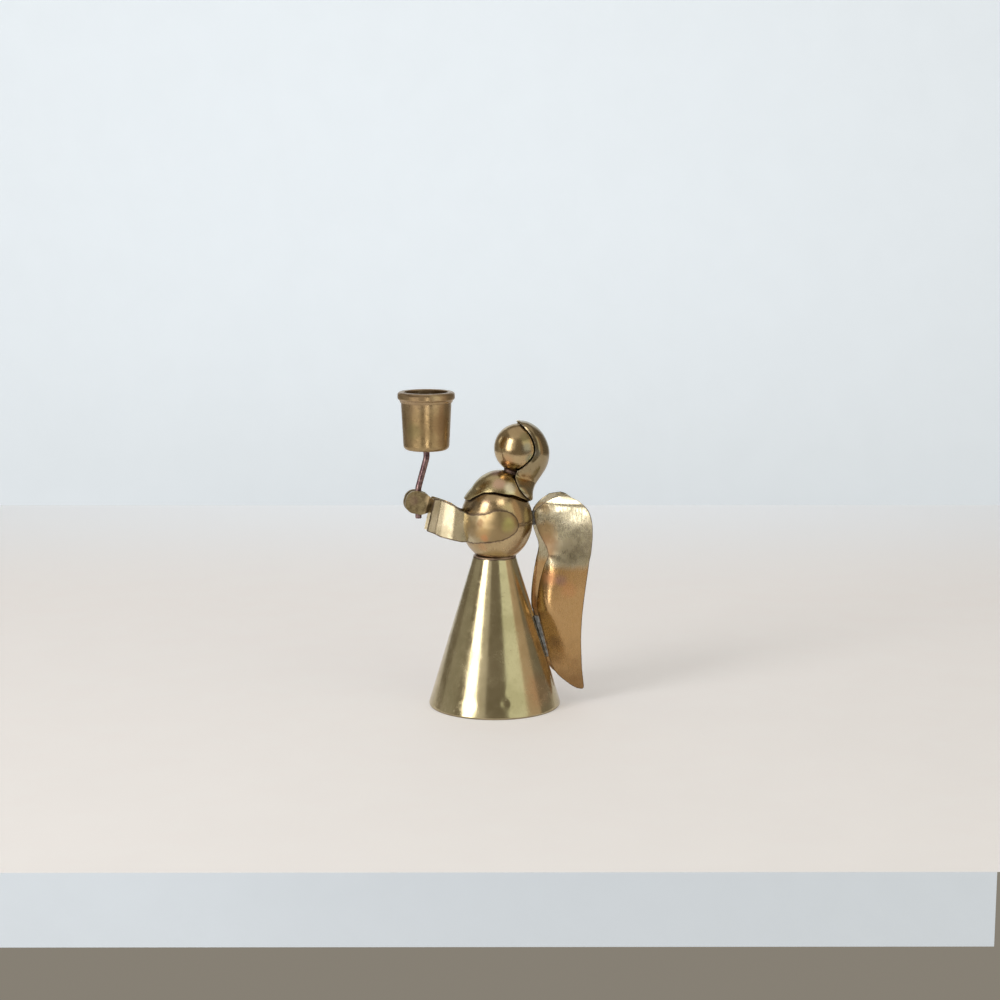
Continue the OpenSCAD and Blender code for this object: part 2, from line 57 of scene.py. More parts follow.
# Sizes in mm, as in the CAD source
SKIRT_H, SKIRT_BASE_R, SKIRT_TOP_R, SKIRT_WALL = 78.7, 34.4, 11.1, 0.7
RIM_H, RIM_TUCK = 1.0, 0.3
BODY_R, BODY_HALF_H, BODY_BACK, BODY_WALL = 18.75, 21.5, 1.0, 0.8
VENT_R = 2.5
HEAD_R, HEAD_WALL, NECK_LEAN, NECK_H, NECK_R = 12.75, 0.8, math.radians(17.3), 5.3, 4.2
HAIR_T, HAIR_PLUG_R = 0.6, 3.2
CAPE_T, WRAP_GAP, CAPE_CROWN = 0.5, 0.2, 4.0
CROWN_SPAN, CROWN_SIDE_PULL, CROWN_BACK_PULL = 1.5, 1.15, 1.4
SLEEVE_T, SLEEVE_W, FOREARM_L = 0.7, 16.2, 16.5
ELBOW_SPREAD, SLEEVE_BULGE, PINCH_SPREAD, CUFF_SPREAD = 12.6, 1.0, 5.6, 8.6
HAND_T, HAND_H, HAND_L, HAND_RISE = 1.8, 11.8, 13.7, math.radians(16)
BORE_R, BORE_DEPTH, CUP_H, CUP_TOP_R, CUP_BOTTOM_R = 11.2, 23.0, 29.8, 12.9, 11.8
CUP_CORNER_R, LIP_R, LIP_H = 2.5, 14.65, 5.4
STEM_R, STEM_TAIL, STEM_RISE, STEM_JOG, STEM_BEND_R = 1.6, 2.4, 27.1, 4.4, 8.0
WING_T, WING_RISE, WING_TIP_Z, WING_REACH, WING_SPREAD = 0.8, 12.9, 7.0, 48.7, 17.0

seat_r = SKIRT_TOP_R - SKIRT_WALL - BODY_BACK - FILM
body_z = SKIRT_H + BODY_HALF_H * math.sqrt(1 - (seat_r / BODY_R) ** 2)
body_c = np.array([0, BODY_BACK, body_z])
neck_dir = np.array([0, math.sin(NECK_LEAN), math.cos(NECK_LEAN)])
egg_reach = 1 / math.hypot(math.sin(NECK_LEAN) / BODY_R, math.cos(NECK_LEAN) / BODY_HALF_H)
head_c = body_c + (egg_reach + NECK_H + HEAD_R) * neck_dir
body_front = BODY_BACK - BODY_R


# Mesh helpers
def smooth_rows(rows, u):
    """Smooth curve through rows of numbers: u runs from 0 to the last row."""
    rows, u = np.asarray(rows, float), np.asarray(u, float)
    last = len(rows) - 1
    i = np.minimum(np.floor(u).astype(int), last - 1)
    s = (u - i)[:, None]
    a, b, c, d = rows[np.maximum(i - 1, 0)], rows[i], rows[i + 1], rows[np.minimum(i + 2, last)]
    return 0.5 * (2 * b + (c - a) * s + (2 * a - 5 * b + 4 * c - d) * s ** 2
                  + (3 * b - 3 * c + d - a) * s ** 3)


def lerp(a, b, s):
    return a + (b - a) * s


def blend(a, b, share):
    """A colour between a and b."""
    return tuple(lerp(p, q, share) for p, q in zip(a, b))


def full_turn(steps):
    return np.linspace(0, math.tau, steps, endpoint=False)


def place(name, data):
    """A new object in the scene that holds data."""
    obj = bpy.data.objects.new(name, data)
    bpy.context.scene.collection.objects.link(obj)
    return obj


pieces = []


def make(name, points, faces, slot, material, bevel=0.0, border=None, node=None):
    """A smooth-shaded mesh from points in mm. Its crisp edges are rounded by bevel mm.
    Each vertex keeps its distance to border, the points along a sheet's cut edge, in mm."""
    mesh = bpy.data.meshes.new(name)
    mesh.from_pydata([tuple(p) for p in np.asarray(points, float) * MM], [], faces)
    bm = bmesh.new()
    bm.from_mesh(mesh)
    bmesh.ops.remove_doubles(bm, verts=bm.verts, dist=WELD * MM)
    bmesh.ops.recalc_face_normals(bm, faces=bm.faces)
    if bevel:
        sharp = [e for e in bm.edges if e.is_manifold and e.calc_face_angle(0) > CRISP]
        bmesh.ops.bevel(bm, geom=sharp, offset=bevel * MM, segments=3, profile=0.5,
                        affect="EDGES", clamp_overlap=True)
    for f in bm.faces:
        f.smooth = True
    bm.to_mesh(mesh)
    bm.free()
    obj = place(name, mesh)
    mesh.materials.append(material)
    to_edge = [FAR] * len(mesh.vertices)
    if border is not None:
        edge = KDTree(len(border))
        for i, p in enumerate(border):
            edge.insert(Vector(p), i)
        edge.balance()
        to_edge = [min(FAR, edge.find(v.co / MM)[2]) for v in mesh.vertices]
    mesh.attributes.new("to_edge", "FLOAT", "POINT").data.foreach_set("value", to_edge)
    pieces.append(obj)
    shade = obj.modifiers.new("even_shading", "WEIGHTED_NORMAL")
    shade.keep_sharp = True
    node = node or name
    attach(obj, "root")
    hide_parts(node)


def grid_normals(g, ring):
    """Unit normals of the surface through the grid g, whose first index wraps round if it is a ring."""
    if ring:
        up, down = np.roll(g, -1, 0), np.roll(g, 1, 0)
    else:
        up, down = np.concatenate([g[1:], g[-1:]]), np.concatenate([g[:1], g[:-1]])
    right = np.concatenate([g[:, 1:], g[:, -1:]], 1)
    left = np.concatenate([g[:, :1], g[:, :-1]], 1)
    n = np.cross(up - down, right - left)
    return n / np.linalg.norm(n, axis=2, keepdims=True)


def sheet(g, t, ring=False):
    """Points and faces of a sheet t thick whose outer face is the grid g."""
    m, n = g.shape[:2]
    inner = g - t * grid_normals(g, ring)
    points = np.concatenate([g.reshape(-1, 3), inner.reshape(-1, 3)])
    k, faces = m * n, []

    def at(i, j):
        return (i % m) * n + j

    for i in range(m if ring else m - 1):
        for j in range(n - 1):
            a, b, c, d = at(i, j), at(i + 1, j), at(i + 1, j + 1), at(i, j + 1)
            faces += [(a, d, c, b), (a + k, b + k, c + k, d + k)]
        for j in (0, n - 1):
            a, b = at(i, j), at(i + 1, j)
            faces.append((a, b, b + k, a + k))
    if not ring:
        for i in (0, m - 1):
            for j in range(n - 1):
                a, d = at(i, j), at(i, j + 1)
                faces.append((a, d, d + k, a + k))
    return points, faces


def border_of(g, ring=False):
    """Points along the cut edges of the sheet whose outer face is the grid g."""
    lines = [g[:, 0], g[:, -1]]
    if ring:
        lines = [np.concatenate([line, line[:1]]) for line in lines]
    else:
        lines += [g[0], g[-1]]
    points = []
    for line in lines:
        for a, b in zip(line[:-1], line[1:]):
            steps = max(1, int(np.linalg.norm(b - a) / EDGE_STEP))
            points += [lerp(a, b, i / steps) for i in range(steps)]
    return np.array(points)


def mark_seams():
    """Each vertex keeps its distance to the nearest other piece beside it or in front of it, in mm."""
    trees = []
    for obj in pieces:
        mesh = obj.data
        points = [v.co / MM for v in mesh.vertices]
        tree = BVHTree.FromPolygons(points, [tuple(p.vertices) for p in mesh.polygons])
        spread = np.array(points)
        trees.append((points, tree, spread.min(0), spread.max(0)))
    for obj, (points, own, low, high) in zip(pieces, trees):
        others = [tree for _, tree, a, b in trees
                  if tree is not own and np.all(b > low - FAR) and np.all(a < high + FAR)]
        near = []
        for p, v in zip(points, obj.data.vertices):
            best = FAR
            for tree in others:
                spot, _, _, away = tree.find_nearest(p, best)
                if spot is not None and (spot - p).dot(v.normal) > -0.5 * away:
                    best = min(best, away)
            near.append(best)
        obj.data.attributes.new("to_piece", "FLOAT", "POINT").data.foreach_set("value", near)


def wrapped_faces(rows, across, closed):
    """Faces of rows of points that wrap round. closed joins the last row to the first."""
    return [(i * across + j, i * across + (j + 1) % across,
             (i + 1) % rows * across + (j + 1) % across, (i + 1) % rows * across + j)
            for i in range(rows if closed else rows - 1) for j in range(across)]


def tube(sections):
    """Points and faces of a solid through closed sections, capped at both ends."""
    m, n = sections.shape[:2]
    caps = [tuple(range(n)), tuple(range((m - 1) * n, m * n))]
    return sections.reshape(-1, 3), wrapped_faces(m, n, False) + caps


def lathe(profile, closed, centre=(0, 0, 0), lean=0.0, segments=TURNED):
    """Points and faces of a turned piece. profile is [r, z] rows; closed joins its last row to its first."""
    profile = np.asarray(profile, float)
    a = full_turn(segments)
    r, z = profile[:, 0][:, None], profile[:, 1][:, None]
    g = np.stack([r * np.cos(a), r * np.sin(a), np.broadcast_to(z, (len(profile), segments))], 2)
    turn = np.array([[1, 0, 0], [0, math.cos(lean), math.sin(lean)], [0, -math.sin(lean), math.cos(lean)]])
    points = g.reshape(-1, 3) @ turn.T + np.asarray(centre, float)
    return points, wrapped_faces(len(profile), segments, closed)


def arc(cr, cz, r, start, end, steps):
    """[r, z] rows along a round, angles in degrees."""
    return [[cr + r * math.cos(math.radians(a)), cz + r * math.sin(math.radians(a))]
            for a in np.linspace(start, end, steps)]


def rough(points, amount, grain, seed=0):
    """Moves points by smooth noise of that many mm, in lumps of about grain mm."""
    shift = Vector((seed * 7.3, seed * 3.1, seed * 5.7))
    return np.array([p + amount * np.array(noise.noise_vector(Vector(p) / grain + shift))
                     for p in np.asarray(points, float)])


def make_pair(name, points, faces, slot, material, bevel, border=None):
    """The left piece and its mirror image."""
    flip = np.array([-1, 1, 1])
    make(f"left_{name}", points, faces, slot, material, bevel, border)
    if border is not None:
        border = border * flip
    make(f"right_{name}", points * flip, [f[::-1] for f in faces], slot, material, bevel, border)


# Materials
def nodes_of(name):
    """A new material, its node tree, its shader and the place on the object."""
    m = bpy.data.materials.new(name)
    m.use_nodes = True
    tree = m.node_tree
    return m, tree, tree.nodes["Principled BSDF"], add(tree, "ShaderNodeTexCoord").outputs["Object"]


def add(tree, kind, **values):
    n = tree.nodes.new(kind)
    for key, value in values.items():
        if hasattr(n, key) and key not in n.inputs:
            setattr(n, key, value)
        else:
            n.inputs[key.replace("_", " ") if key not in n.inputs else key].default_value = value
    return n


def texture(tree, coords, scale, detail=4.0, rough_share=0.6, stretch=(1, 1, 1), turn=(0, 0, 0)):
    """Noise of that many features per metre, stretched along the axes of the object."""
    mapping = add(tree, "ShaderNodeMapping", Scale=stretch, Rotation=turn)
    tree.links.new(coords, mapping.inputs["Vector"])
    n = add(tree, "ShaderNodeTexNoise", Scale=scale, Detail=detail, Roughness=rough_share)
    tree.links.new(mapping.outputs["Vector"], n.inputs["Vector"])
    return n.outputs["Fac"]


def ramp(tree, fac, low, high, from_value=0.0, to_value=1.0):
    """Fades from from_value to to_value as fac goes from low to high."""
    n = add(tree, "ShaderNodeMapRange", interpolation_type="SMOOTHSTEP",
            From_Min=low, From_Max=high, To_Min=from_value, To_Max=to_value)
    tree.links.new(fac, n.inputs["Value"])
    return n.outputs["Result"]


def mix(tree, fac, a, b):
    """Colour a where fac is 0, b where fac is 1. a and b are colours or outputs."""
    n = add(tree, "ShaderNodeMix", data_type="RGBA")
    tree.links.new(fac, n.inputs["Factor"])
    for socket, value in (("A", a), ("B", b)):
        target = next(s for s in n.inputs if s.name == socket and s.type == "RGBA")
        if isinstance(value, tuple):
            target.default_value = (*value, 1.0)
        else:
            tree.links.new(value, target)
    return next(s for s in n.outputs if s.type == "RGBA")


def maths(tree, operation, a, b):
    n = add(tree, "ShaderNodeMath", operation=operation)
    for k, value in enumerate((a, b)):
        if isinstance(value, (int, float)):
            n.inputs[k].default_value = value
        else:
            tree.links.new(value, n.inputs[k])
    return n.outputs["Value"]


def patch(tree, coords, centre_mm, reach_mm):
    """1 near centre_mm, fading to 0 at reach_mm, with a ragged edge."""
    offset = add(tree, "ShaderNodeVectorMath", operation="DISTANCE")
    tree.links.new(coords, offset.inputs[0])
    offset.inputs[1].default_value = tuple(c * MM for c in centre_mm)
    ragged = maths(tree, "ADD", offset.outputs["Value"],
                   maths(tree, "MULTIPLY", texture(tree, coords, 320, 5.0), 0.5 * reach_mm * MM))
    return ramp(tree, ragged, 0.6 * reach_mm * MM, 1.25 * reach_mm * MM, 1.0, 0.0)


def dress(tree, shader, colour, gloss, metal, height, bump, depth):
    """Joins colour, roughness and relief to the shader."""
    tree.links.new(colour, shader.inputs["Base Color"])
    tree.links.new(gloss, shader.inputs["Roughness"])
    shader.inputs["Metallic"].default_value = metal
    bumps = add(tree, "ShaderNodeBump", Strength=bump, Distance=depth * MM)
    tree.links.new(height, bumps.inputs["Height"])
    tree.links.new(bumps.outputs["Normal"], shader.inputs["Normal"])


# Painted shade with some grime, for cut edges and where pieces meet
SHADE_AND_GRIME = (0.13, 0.09, 0.065)


def brass(name, base, tarnish, roughness, wear, bump, brush=None, stains_and_painted_light=(), fades=(),
          edge=(0.35, SHADE_AND_GRIME, 0.85), seam_shade=(0.6, SHADE_AND_GRIME, 0.9)):
    """Aged brass: warm and cool drifts, fine tarnish specks, scratches, uneven gloss.
    brush is a stretch that draws the grain out along one axis. stains_and_painted_light are (centre, reach,
    colour, share) and fades are (height, lower height, colour, share), a ragged change of colour further
    down, all in mm. Some of these are stains and some are painted shadow, highlight or reflection, as noted
    where each material is made.
    edge is the mm, colour and share of painted shade and grime along a cut edge (a painted highlight on the
    hair), and seam_shade those of painted contact shade beside another piece."""
    m, tree, shader, coords = nodes_of(name)
    drift = texture(tree, coords, 55, 3.0)
    colour = mix(tree, ramp(tree, drift, 0.35, 0.68), base, blend(base, tarnish, 0.35))
    specks = texture(tree, coords, 900, 6.0, 0.75)
    speck_mask = ramp(tree, specks, 0.52, 0.70, 0.0, wear)
    colour = mix(tree, speck_mask, colour, tarnish)
    dullness = texture(tree, coords, 180, 5.0)
    gloss = maths(tree, "ADD", ramp(tree, dullness, 0.3, 0.75, 0.8 * roughness, 1.5 * roughness),
                  maths(tree, "MULTIPLY", speck_mask, 0.30))
    height = maths(tree, "MULTIPLY", specks, 0.35)
    if brush:
        grain = texture(tree, coords, 1500, 3.0, 0.7, brush)
        colour = mix(tree, ramp(tree, grain, 0.42, 0.66, 0.0, 0.45), colour, tarnish)
        gloss = maths(tree, "ADD", gloss, ramp(tree, grain, 0.35, 0.7, 0.0, 0.12))
        height = maths(tree, "ADD", height, grain)
    scratches = texture(tree, coords, 700, 1.0, 0.3, (14, 1, 0.6), (0.5, 0.9, 0.3))
    height = maths(tree, "ADD", height, ramp(tree, scratches, 0.68, 0.72, 0.0, -0.6))
    for high, low, stain_and_painted_light, share in fades:
        height_at = add(tree, "ShaderNodeSeparateXYZ")
        tree.links.new(coords, height_at.inputs[0])
        ragged = maths(tree, "ADD", height_at.outputs["Z"],
                       maths(tree, "MULTIPLY", texture(tree, coords, 120), (high - low) * MM))
        colour = mix(tree, ramp(tree, ragged, low * MM, high * MM, share, 0.0), colour, stain_and_painted_light)
    for centre, reach, stain_and_painted_light, share in stains_and_painted_light:
        mask = maths(tree, "MULTIPLY", patch(tree, coords, centre, reach), share)
        colour = mix(tree, mask, colour, stain_and_painted_light)
        gloss = maths(tree, "ADD", gloss, maths(tree, "MULTIPLY", mask, 0.12))
    # Painted shade and grime along cut edges, and painted contact shade beside other pieces; on the hair's
    # edge a painted highlight
    ragged = ramp(tree, texture(tree, coords, 600, 5.0, 0.7), 0.25, 0.75, -0.5, 0.5)
    for attribute, (width, stain_and_painted_light, share) in (("to_edge", edge), ("to_piece", seam_shade)):
        away = add(tree, "ShaderNodeAttribute", attribute_name=attribute).outputs["Fac"]
        away = maths(tree, "ADD", away, maths(tree, "MULTIPLY", ragged, width))
        painted_light_and_grime = ramp(tree, away, 0.4 * width, 1.4 * width, share, 0.0)
        colour = mix(tree, painted_light_and_grime, colour, stain_and_painted_light)
        gloss = maths(tree, "ADD", gloss, maths(tree, "MULTIPLY", painted_light_and_grime, 0.2))
    dress(tree, shader, colour, gloss, 1.0, height, bump, BUMP_DEPTH)
    return m


def crust(name, base, dark, metal, roughness, grain=420, bump=0.6, stains_and_painted_light=()):
    """Solder, copper and dulled brass: lumpy and mottled."""
    m, tree, shader, coords = nodes_of(name)
    lumps = texture(tree, coords, grain, 8.0, 0.7)
    fine = texture(tree, coords, grain * 5, 4.0, 0.7)
    colour = mix(tree, ramp(tree, lumps, 0.38, 0.62), dark, base)
    colour = mix(tree, ramp(tree, fine, 0.5, 0.7, 0.0, 0.5), colour, tuple(0.4 * d for d in dark))
    for centre, reach, stain_and_painted_light, share in stains_and_painted_light:
        colour = mix(tree, maths(tree, "MULTIPLY", patch(tree, coords, centre, reach), share), colour, stain_and_painted_light)
    gloss = ramp(tree, fine, 0.3, 0.7, 0.8 * roughness, 1.3 * roughness)
    height = maths(tree, "ADD", lumps, maths(tree, "MULTIPLY", fine, 0.4))
    dress(tree, shader, colour, gloss, metal, height, bump, CRUST_DEPTH)
    return m


BRASS = (0.50, 0.40, 0.22)
WARM_BRASS = (0.54, 0.41, 0.23)
SKIRT_BRASS = (0.59, 0.505, 0.32)
PALE_BRASS = (0.66, 0.57, 0.40)
WING_BRASS = (0.60, 0.54, 0.40)
HAIR_BRASS = (0.36, 0.29, 0.17)
CUP_BRASS = (0.47, 0.35, 0.185)
# Painted highlight colour
CAPE_HIGHLIGHT = (0.95, 0.85, 0.62)
# Painted highlight colour
SLEEVE_GLINT = (0.80, 0.70, 0.58)
# Painted reflection of the warm table
TABLE_REFLECTION = (0.50, 0.29, 0.11)
AMBER = (0.50, 0.33, 0.15)
MUSTARD = (0.48, 0.42, 0.16)
OLIVE = (0.30, 0.25, 0.12)
# Painted reflection of the dark room
ROOM_REFLECTION = (0.30, 0.25, 0.16)
BROWN = (0.24, 0.14, 0.07)
DUN = (0.32, 0.22, 0.10)
RUSSET = (0.26, 0.15, 0.065)
# Painted shade colour for a fold
FOLD_SHADE = (0.28, 0.19, 0.09)
# Painted reflection of the body, in two depths
BODY_REFLECTION = (0.22, 0.15, 0.07)
DARK_BODY_REFLECTION = (0.20, 0.13, 0.06)
PURPLE = (0.36, 0.20, 0.19)
ORANGE = (0.66, 0.30, 0.14)
PINK = (0.70, 0.46, 0.34)
# Painted shadow colour
CAST_SHADOW = (0.05, 0.04, 0.035)
GREY = (0.24, 0.23, 0.21)
GREEN = (0.20, 0.25, 0.17)
# Soot with painted shade, for where head and hair meet
SOOTY_SHADE = (0.24, 0.20, 0.16)
# Painted highlight along a cut edge
RIM_HIGHLIGHT = (0.66, 0.62, 0.50)
PINKISH = (0.48, 0.36, 0.31)
# Painted contact shadow for the foot of the skirt
FOOT_SHADOW = (0.16, 0.11, 0.065)

# The fade at the foot is painted contact shadow along the bottom edge
skirt_metal = brass("skirt_brass", SKIRT_BRASS, OLIVE, 0.16, 0.4, 0.04,
                    fades=[(1.8, 0.6, FOOT_SHADOW, 0.75)], stains_and_painted_light=[
    ((20, 19, 45), 9, ORANGE, 0.30), ((24, 18, 12), 12, ORANGE, 0.25), ((15, -8, 74), 5, BROWN, 0.35),
    ((22, -22, 30), 12, OLIVE, 0.35), ((16, -14, 60), 8, BROWN, 0.25)])
# The two black patches by the cape's front tip are painted shadow under the cape; the darkening beside other
# pieces is painted contact shade
body_metal = brass("body_brass", WARM_BRASS, BROWN, 0.19, 0.4, 0.06, seam_shade=(1.0, SHADE_AND_GRIME, 0.85), stains_and_painted_light=[
    ((14, -15.5, 109), 6, PURPLE, 0.75), ((16.5, -9, 111), 6, PINK, 0.6), ((15, -11, 84), 6, ORANGE, 0.5),
    ((13, -16, 111), 4, CAST_SHADOW, 0.6), ((8, -15, 108), 6, CAST_SHADOW, 0.6), ((16, 9, 84), 8, BROWN, 0.4)])
# By the hair the head darkens with soot and painted shade; the black patch low on the ball, under the hair,
# is painted shadow
head_metal = brass("head_brass", WARM_BRASS, BROWN, 0.17, 0.5, 0.10, seam_shade=(0.7, SOOTY_SHADE, 0.6), stains_and_painted_light=[
    ((11, 14.5, 125), 5, BROWN, 0.7), ((11.5, 14, 136), 4, GREY, 0.6), ((10.5, 13.5, 142), 4, OLIVE, 0.7),
    ((11, 16, 131), 3.5, GREEN, 0.6), ((8, 14, 121), 5, CAST_SHADOW, 0.6), ((10, 4, 128), 6, ORANGE, 0.35)])
# The pale edge colour is a painted highlight on the hair's cut edge, and the gold patch low on the hair is a
# painted reflection of the table
hair_metal = brass("hair_brass", HAIR_BRASS, BROWN, 0.18, 0.5, 0.08, edge=(0.6, RIM_HIGHLIGHT, 0.8),
                   seam_shade=(0.3, SOOTY_SHADE, 0.5), stains_and_painted_light=[
    ((11, 17, 136), 4, GREEN, 0.6), ((13, 19, 134), 3, GREY, 0.5), ((8, 14, 119), 6, TABLE_REFLECTION, 0.5)])
# The pale patch on the cape beside the neck is a painted highlight; the darkening by the body, head and hair
# and along the edge is painted shade
cape_metal = brass("cape_brass", BRASS, OLIVE, 0.19, 0.5, 0.08, seam_shade=(0.9, SHADE_AND_GRIME, 0.9), stains_and_painted_light=[
    ((12, 0, 118.7), 5, PINK, 0.75), ((14, 5.4, 116.8), 4.5, CAPE_HIGHLIGHT, 1.0), ((4, 0, 124), 5, PURPLE, 0.6),
    ((12, -12, 112), 6, OLIVE, 0.7), ((13, -8, 115), 5, OLIVE, 0.6)])
# The small pale patch at the top of the upper arm is a painted highlight, the chestnut patch at the fold is
# painted shade, and the darkening along the cut edge is painted shade with grime
sleeve_metal = brass("sleeve_brass", PALE_BRASS, OLIVE, 0.25, 0.3, 0.08, edge=(0.6, SHADE_AND_GRIME, 0.9), stains_and_painted_light=[
    ((19, 0, 97), 22, DUN, 0.85), ((12, -14, 96), 7, FOLD_SHADE, 0.7), ((18, -10.6, 93), 6, AMBER, 0.7),
    ((20, 3, 98), 5, MUSTARD, 0.7), ((12, -16.5, 103), 2.5, SLEEVE_GLINT, 0.8), ((17, -9, 91), 3, ORANGE, 0.5),
    ((16, -11, 99), 3, BROWN, 0.7)])
# Painted reflections: the gold below the horizon is the table, the brown and umber patches along the front
# are the body, and the khaki patch is the dark room
wing_metal = brass("wing_brass", WING_BRASS, OLIVE, 0.17, 0.25, 0.03, brush=(0.25, 1, 0.25),
                   fades=[(78.5, 74, TABLE_REFLECTION, 0.85), (56, 22, RUSSET, 0.9)], stains_and_painted_light=[
    ((7, 26.5, 66), 9, BROWN, 0.75), ((7, 24.5, 104), 6, BODY_REFLECTION, 0.9), ((8, 28, 80), 5, BROWN, 0.7),
    ((8, 25, 92), 9, DARK_BODY_REFLECTION, 0.95), ((8, 27, 84), 9, BROWN, 0.8), ((10, 28, 68), 6, ORANGE, 0.6),
    ((12, 32.5, 67), 5, PURPLE, 0.6), ((6, 27, 50), 7, BROWN, 0.7), ((7.5, 31.5, 34), 6, BROWN, 0.7),
    ((14, 36, 62), 6, ORANGE, 0.35), ((14, 36, 84), 9, ROOM_REFLECTION, 0.7)])
# The brown patch on the cup's right side is painted shade
cup_metal = brass("cup_brass", CUP_BRASS, BROWN, 0.24, 0.6, 0.10, brush=(1, 1, 9), stains_and_painted_light=[
    ((9, -44, 146), 6, OLIVE, 0.6), ((0, -35.6, 171), 24, PINKISH, 0.35), ((12, -30, 150), 8, BROWN, 0.5)])
# The pale patch at the wrist is a painted highlight
hand_metal = crust("hand_brass", (0.50, 0.39, 0.22), (0.27, 0.20, 0.11), 0.85, 0.36, 240, 0.22, stains_and_painted_light=[
    ((3, -38, 116), 3, GREEN, 0.5), ((3.4, -34.5, 110), 3.5, (0.90, 0.70, 0.42), 1.0),
    ((3.5, -43, 110), 3.5, PURPLE, 0.3)])
stem_metal = crust("stem_copper", (0.40, 0.26, 0.25), (0.10, 0.05, 0.06), 0.8, 0.32, 420, 0.3)
solder_metal = crust("grey_solder", (0.34, 0.35, 0.36), (0.15, 0.15, 0.15), 0.6, 0.5)
waist_metal = crust("waist_solder_metal", (0.60, 0.46, 0.34), (0.26, 0.16, 0.11), 0.8, 0.35)
brown_solder = crust("brown_solder", (0.34, 0.22, 0.17), (0.10, 0.06, 0.05), 0.5, 0.5)

# Skirt
DENTS = [  # degrees round, and height, reach and depth in mm
    [-35, 6.5, 4.0, 0.32], [-3, 8.0, 3.8, 0.36], [6, 12.0, 5.0, 0.25], [60, 20.0, 9.0, 0.12],
    [-70, 42.0, 10.0, 0.10], [-20, 60.0, 12.0, 0.08], [150, 30.0, 12.0, 0.15]]


def skirt_r_at(z):
    return lerp(SKIRT_BASE_R, SKIRT_TOP_R, (z - RIM_H) / (SKIRT_H - RIM_H))


def skirt_shape():
    rim = [[SKIRT_BASE_R - RIM_TUCK * (1 - math.sin(a)), RIM_H * (1 - math.cos(a))]
           for a in np.linspace(0, math.pi / 2, 8)]
    side = [[skirt_r_at(z), z] for z in np.linspace(RIM_H, SKIRT_H, 90)[1:]]
    outer = rim + side
    inner = [[r - SKIRT_WALL, z] for r, z in outer[::-1]]
    points, faces = lathe(outer + inner, True)
    around, z = np.degrees(np.arctan2(points[:, 1], points[:, 0])), points[:, 2]
    r = np.hypot(points[:, 0], points[:, 1])
    sink = np.zeros(len(points))
    for degrees, height, reach, depth in DENTS:
        arc_mm = np.radians((around - degrees + 180) % 360 - 180) * r
        sink += depth * np.exp(-(arc_mm ** 2 + (z - height) ** 2) / (reach * 0.6) ** 2)
    sink *= np.clip(z / RIM_H - 1, 0, 1)
    points[:, :2] *= (ROUND_SLACK - sink / r)[:, None]
    return points, faces


make("skirt", *skirt_shape(), "brass_sheet", skirt_metal, bevel=0.15)

# Body, head and their solder
def egg_arc(grow, start, end, steps=49):
    a = np.radians(np.linspace(start, end, steps))
    return np.stack([(BODY_R + grow) * np.cos(a), (BODY_HALF_H + grow) * np.sin(a)], 1).tolist()


def egg_r_at(z):
    return BODY_R * np.sqrt(np.maximum(0, 1 - ((z - body_z) / BODY_HALF_H) ** 2))


vent = math.degrees(math.asin(VENT_R / BODY_R)) - 90
lower = egg_arc(0, vent, 0) + egg_arc(-BODY_WALL, 0, vent)
make("body_lower", *lathe(lower, True, body_c), "brass_ball", body_metal, node="body_lower_shell")
upper = egg_arc(0, 0, 90) + egg_arc(-BODY_WALL, 90, 0)
make("body_upper", *lathe(upper, True, body_c), "brass_ball", body_metal, node="body_upper_shell")

top = 90 - math.degrees(math.asin(VENT_R / HEAD_R))
ball = arc(0, 0, HEAD_R, -top, 90, 97) + arc(0, 0, HEAD_R - HEAD_WALL, 90, -top, 97)
make("head", *lathe(ball, True, head_c, NECK_LEAN), "brass_ball", head_metal)

WAIST_BEAD = [[0.05, 0], [0, 0.25], [0.5, 0.55], [0.75, 0.68]]  # mm in from the skirt's top edge, and up


def waist_shape():
    """The bead round the top of the skirt, filled in to the skin of the egg."""
    rows = []
    for a in full_turn(TURNED):
        bead = [[SKIRT_TOP_R - inside, SKIRT_H + up] for inside, up in WAIST_BEAD]
        for z in (bead[-1][1], SKIRT_H):
            seat, along = egg_r_at(z) + FILM, BODY_BACK * math.sin(a)
            bead.append([along + math.sqrt(seat ** 2 - BODY_BACK ** 2 + along ** 2), z])
        rows.append([[r * math.cos(a), r * math.sin(a), z] for r, z in bead])
    return np.array(rows).reshape(-1, 3), wrapped_faces(TURNED, len(rows[0]), True)


waist_points, waist_faces = waist_shape()
make("waist_solder", rough(waist_points, 0.03, 1.5), waist_faces, "solder", waist_metal)


def egg_height(side):
    """How far along the neck the egg's skin lies, for a point beside the neck's axis."""
    scale = np.array([BODY_R + FILM, BODY_R + FILM, BODY_HALF_H + FILM])
    p, d = side / scale, neck_dir / scale
    a, b, c = d @ d, 2 * p @ d, p @ p - 1
    return (-b + math.sqrt(b * b - 4 * a * c)) / (2 * a)


NECK_WAIST = 0.86  # share of its radius halfway up


def neck_shape(steps=14, around=64):
    """A lumpy column that flares onto the egg and the ball."""
    back = np.array([0, math.cos(NECK_LEAN), -math.sin(NECK_LEAN)])
    rows = []
    for s in np.linspace(0, 1, steps):
        r = NECK_R * lerp(NECK_WAIST, 1, abs(2 * s - 1) ** 3)
        ring = []
        for a in full_turn(around):
            side = r * (np.array([math.cos(a), 0, 0]) + math.sin(a) * back)
            high = egg_reach + NECK_H + HEAD_R - math.sqrt((HEAD_R + FILM) ** 2 - r ** 2)
            ring.append(body_c + side + neck_dir * lerp(egg_height(side), high, s))
        rows.append(ring)
    points, faces = tube(np.array(rows))
    lumpy = np.sin(np.pi * np.repeat(np.linspace(0, 1, steps), around))[:, None]
    return lerp(points, rough(points, 0.35, 1.3, 2), lumpy), faces


make("neck_solder", *neck_shape(), "copper_solder", brown_solder)

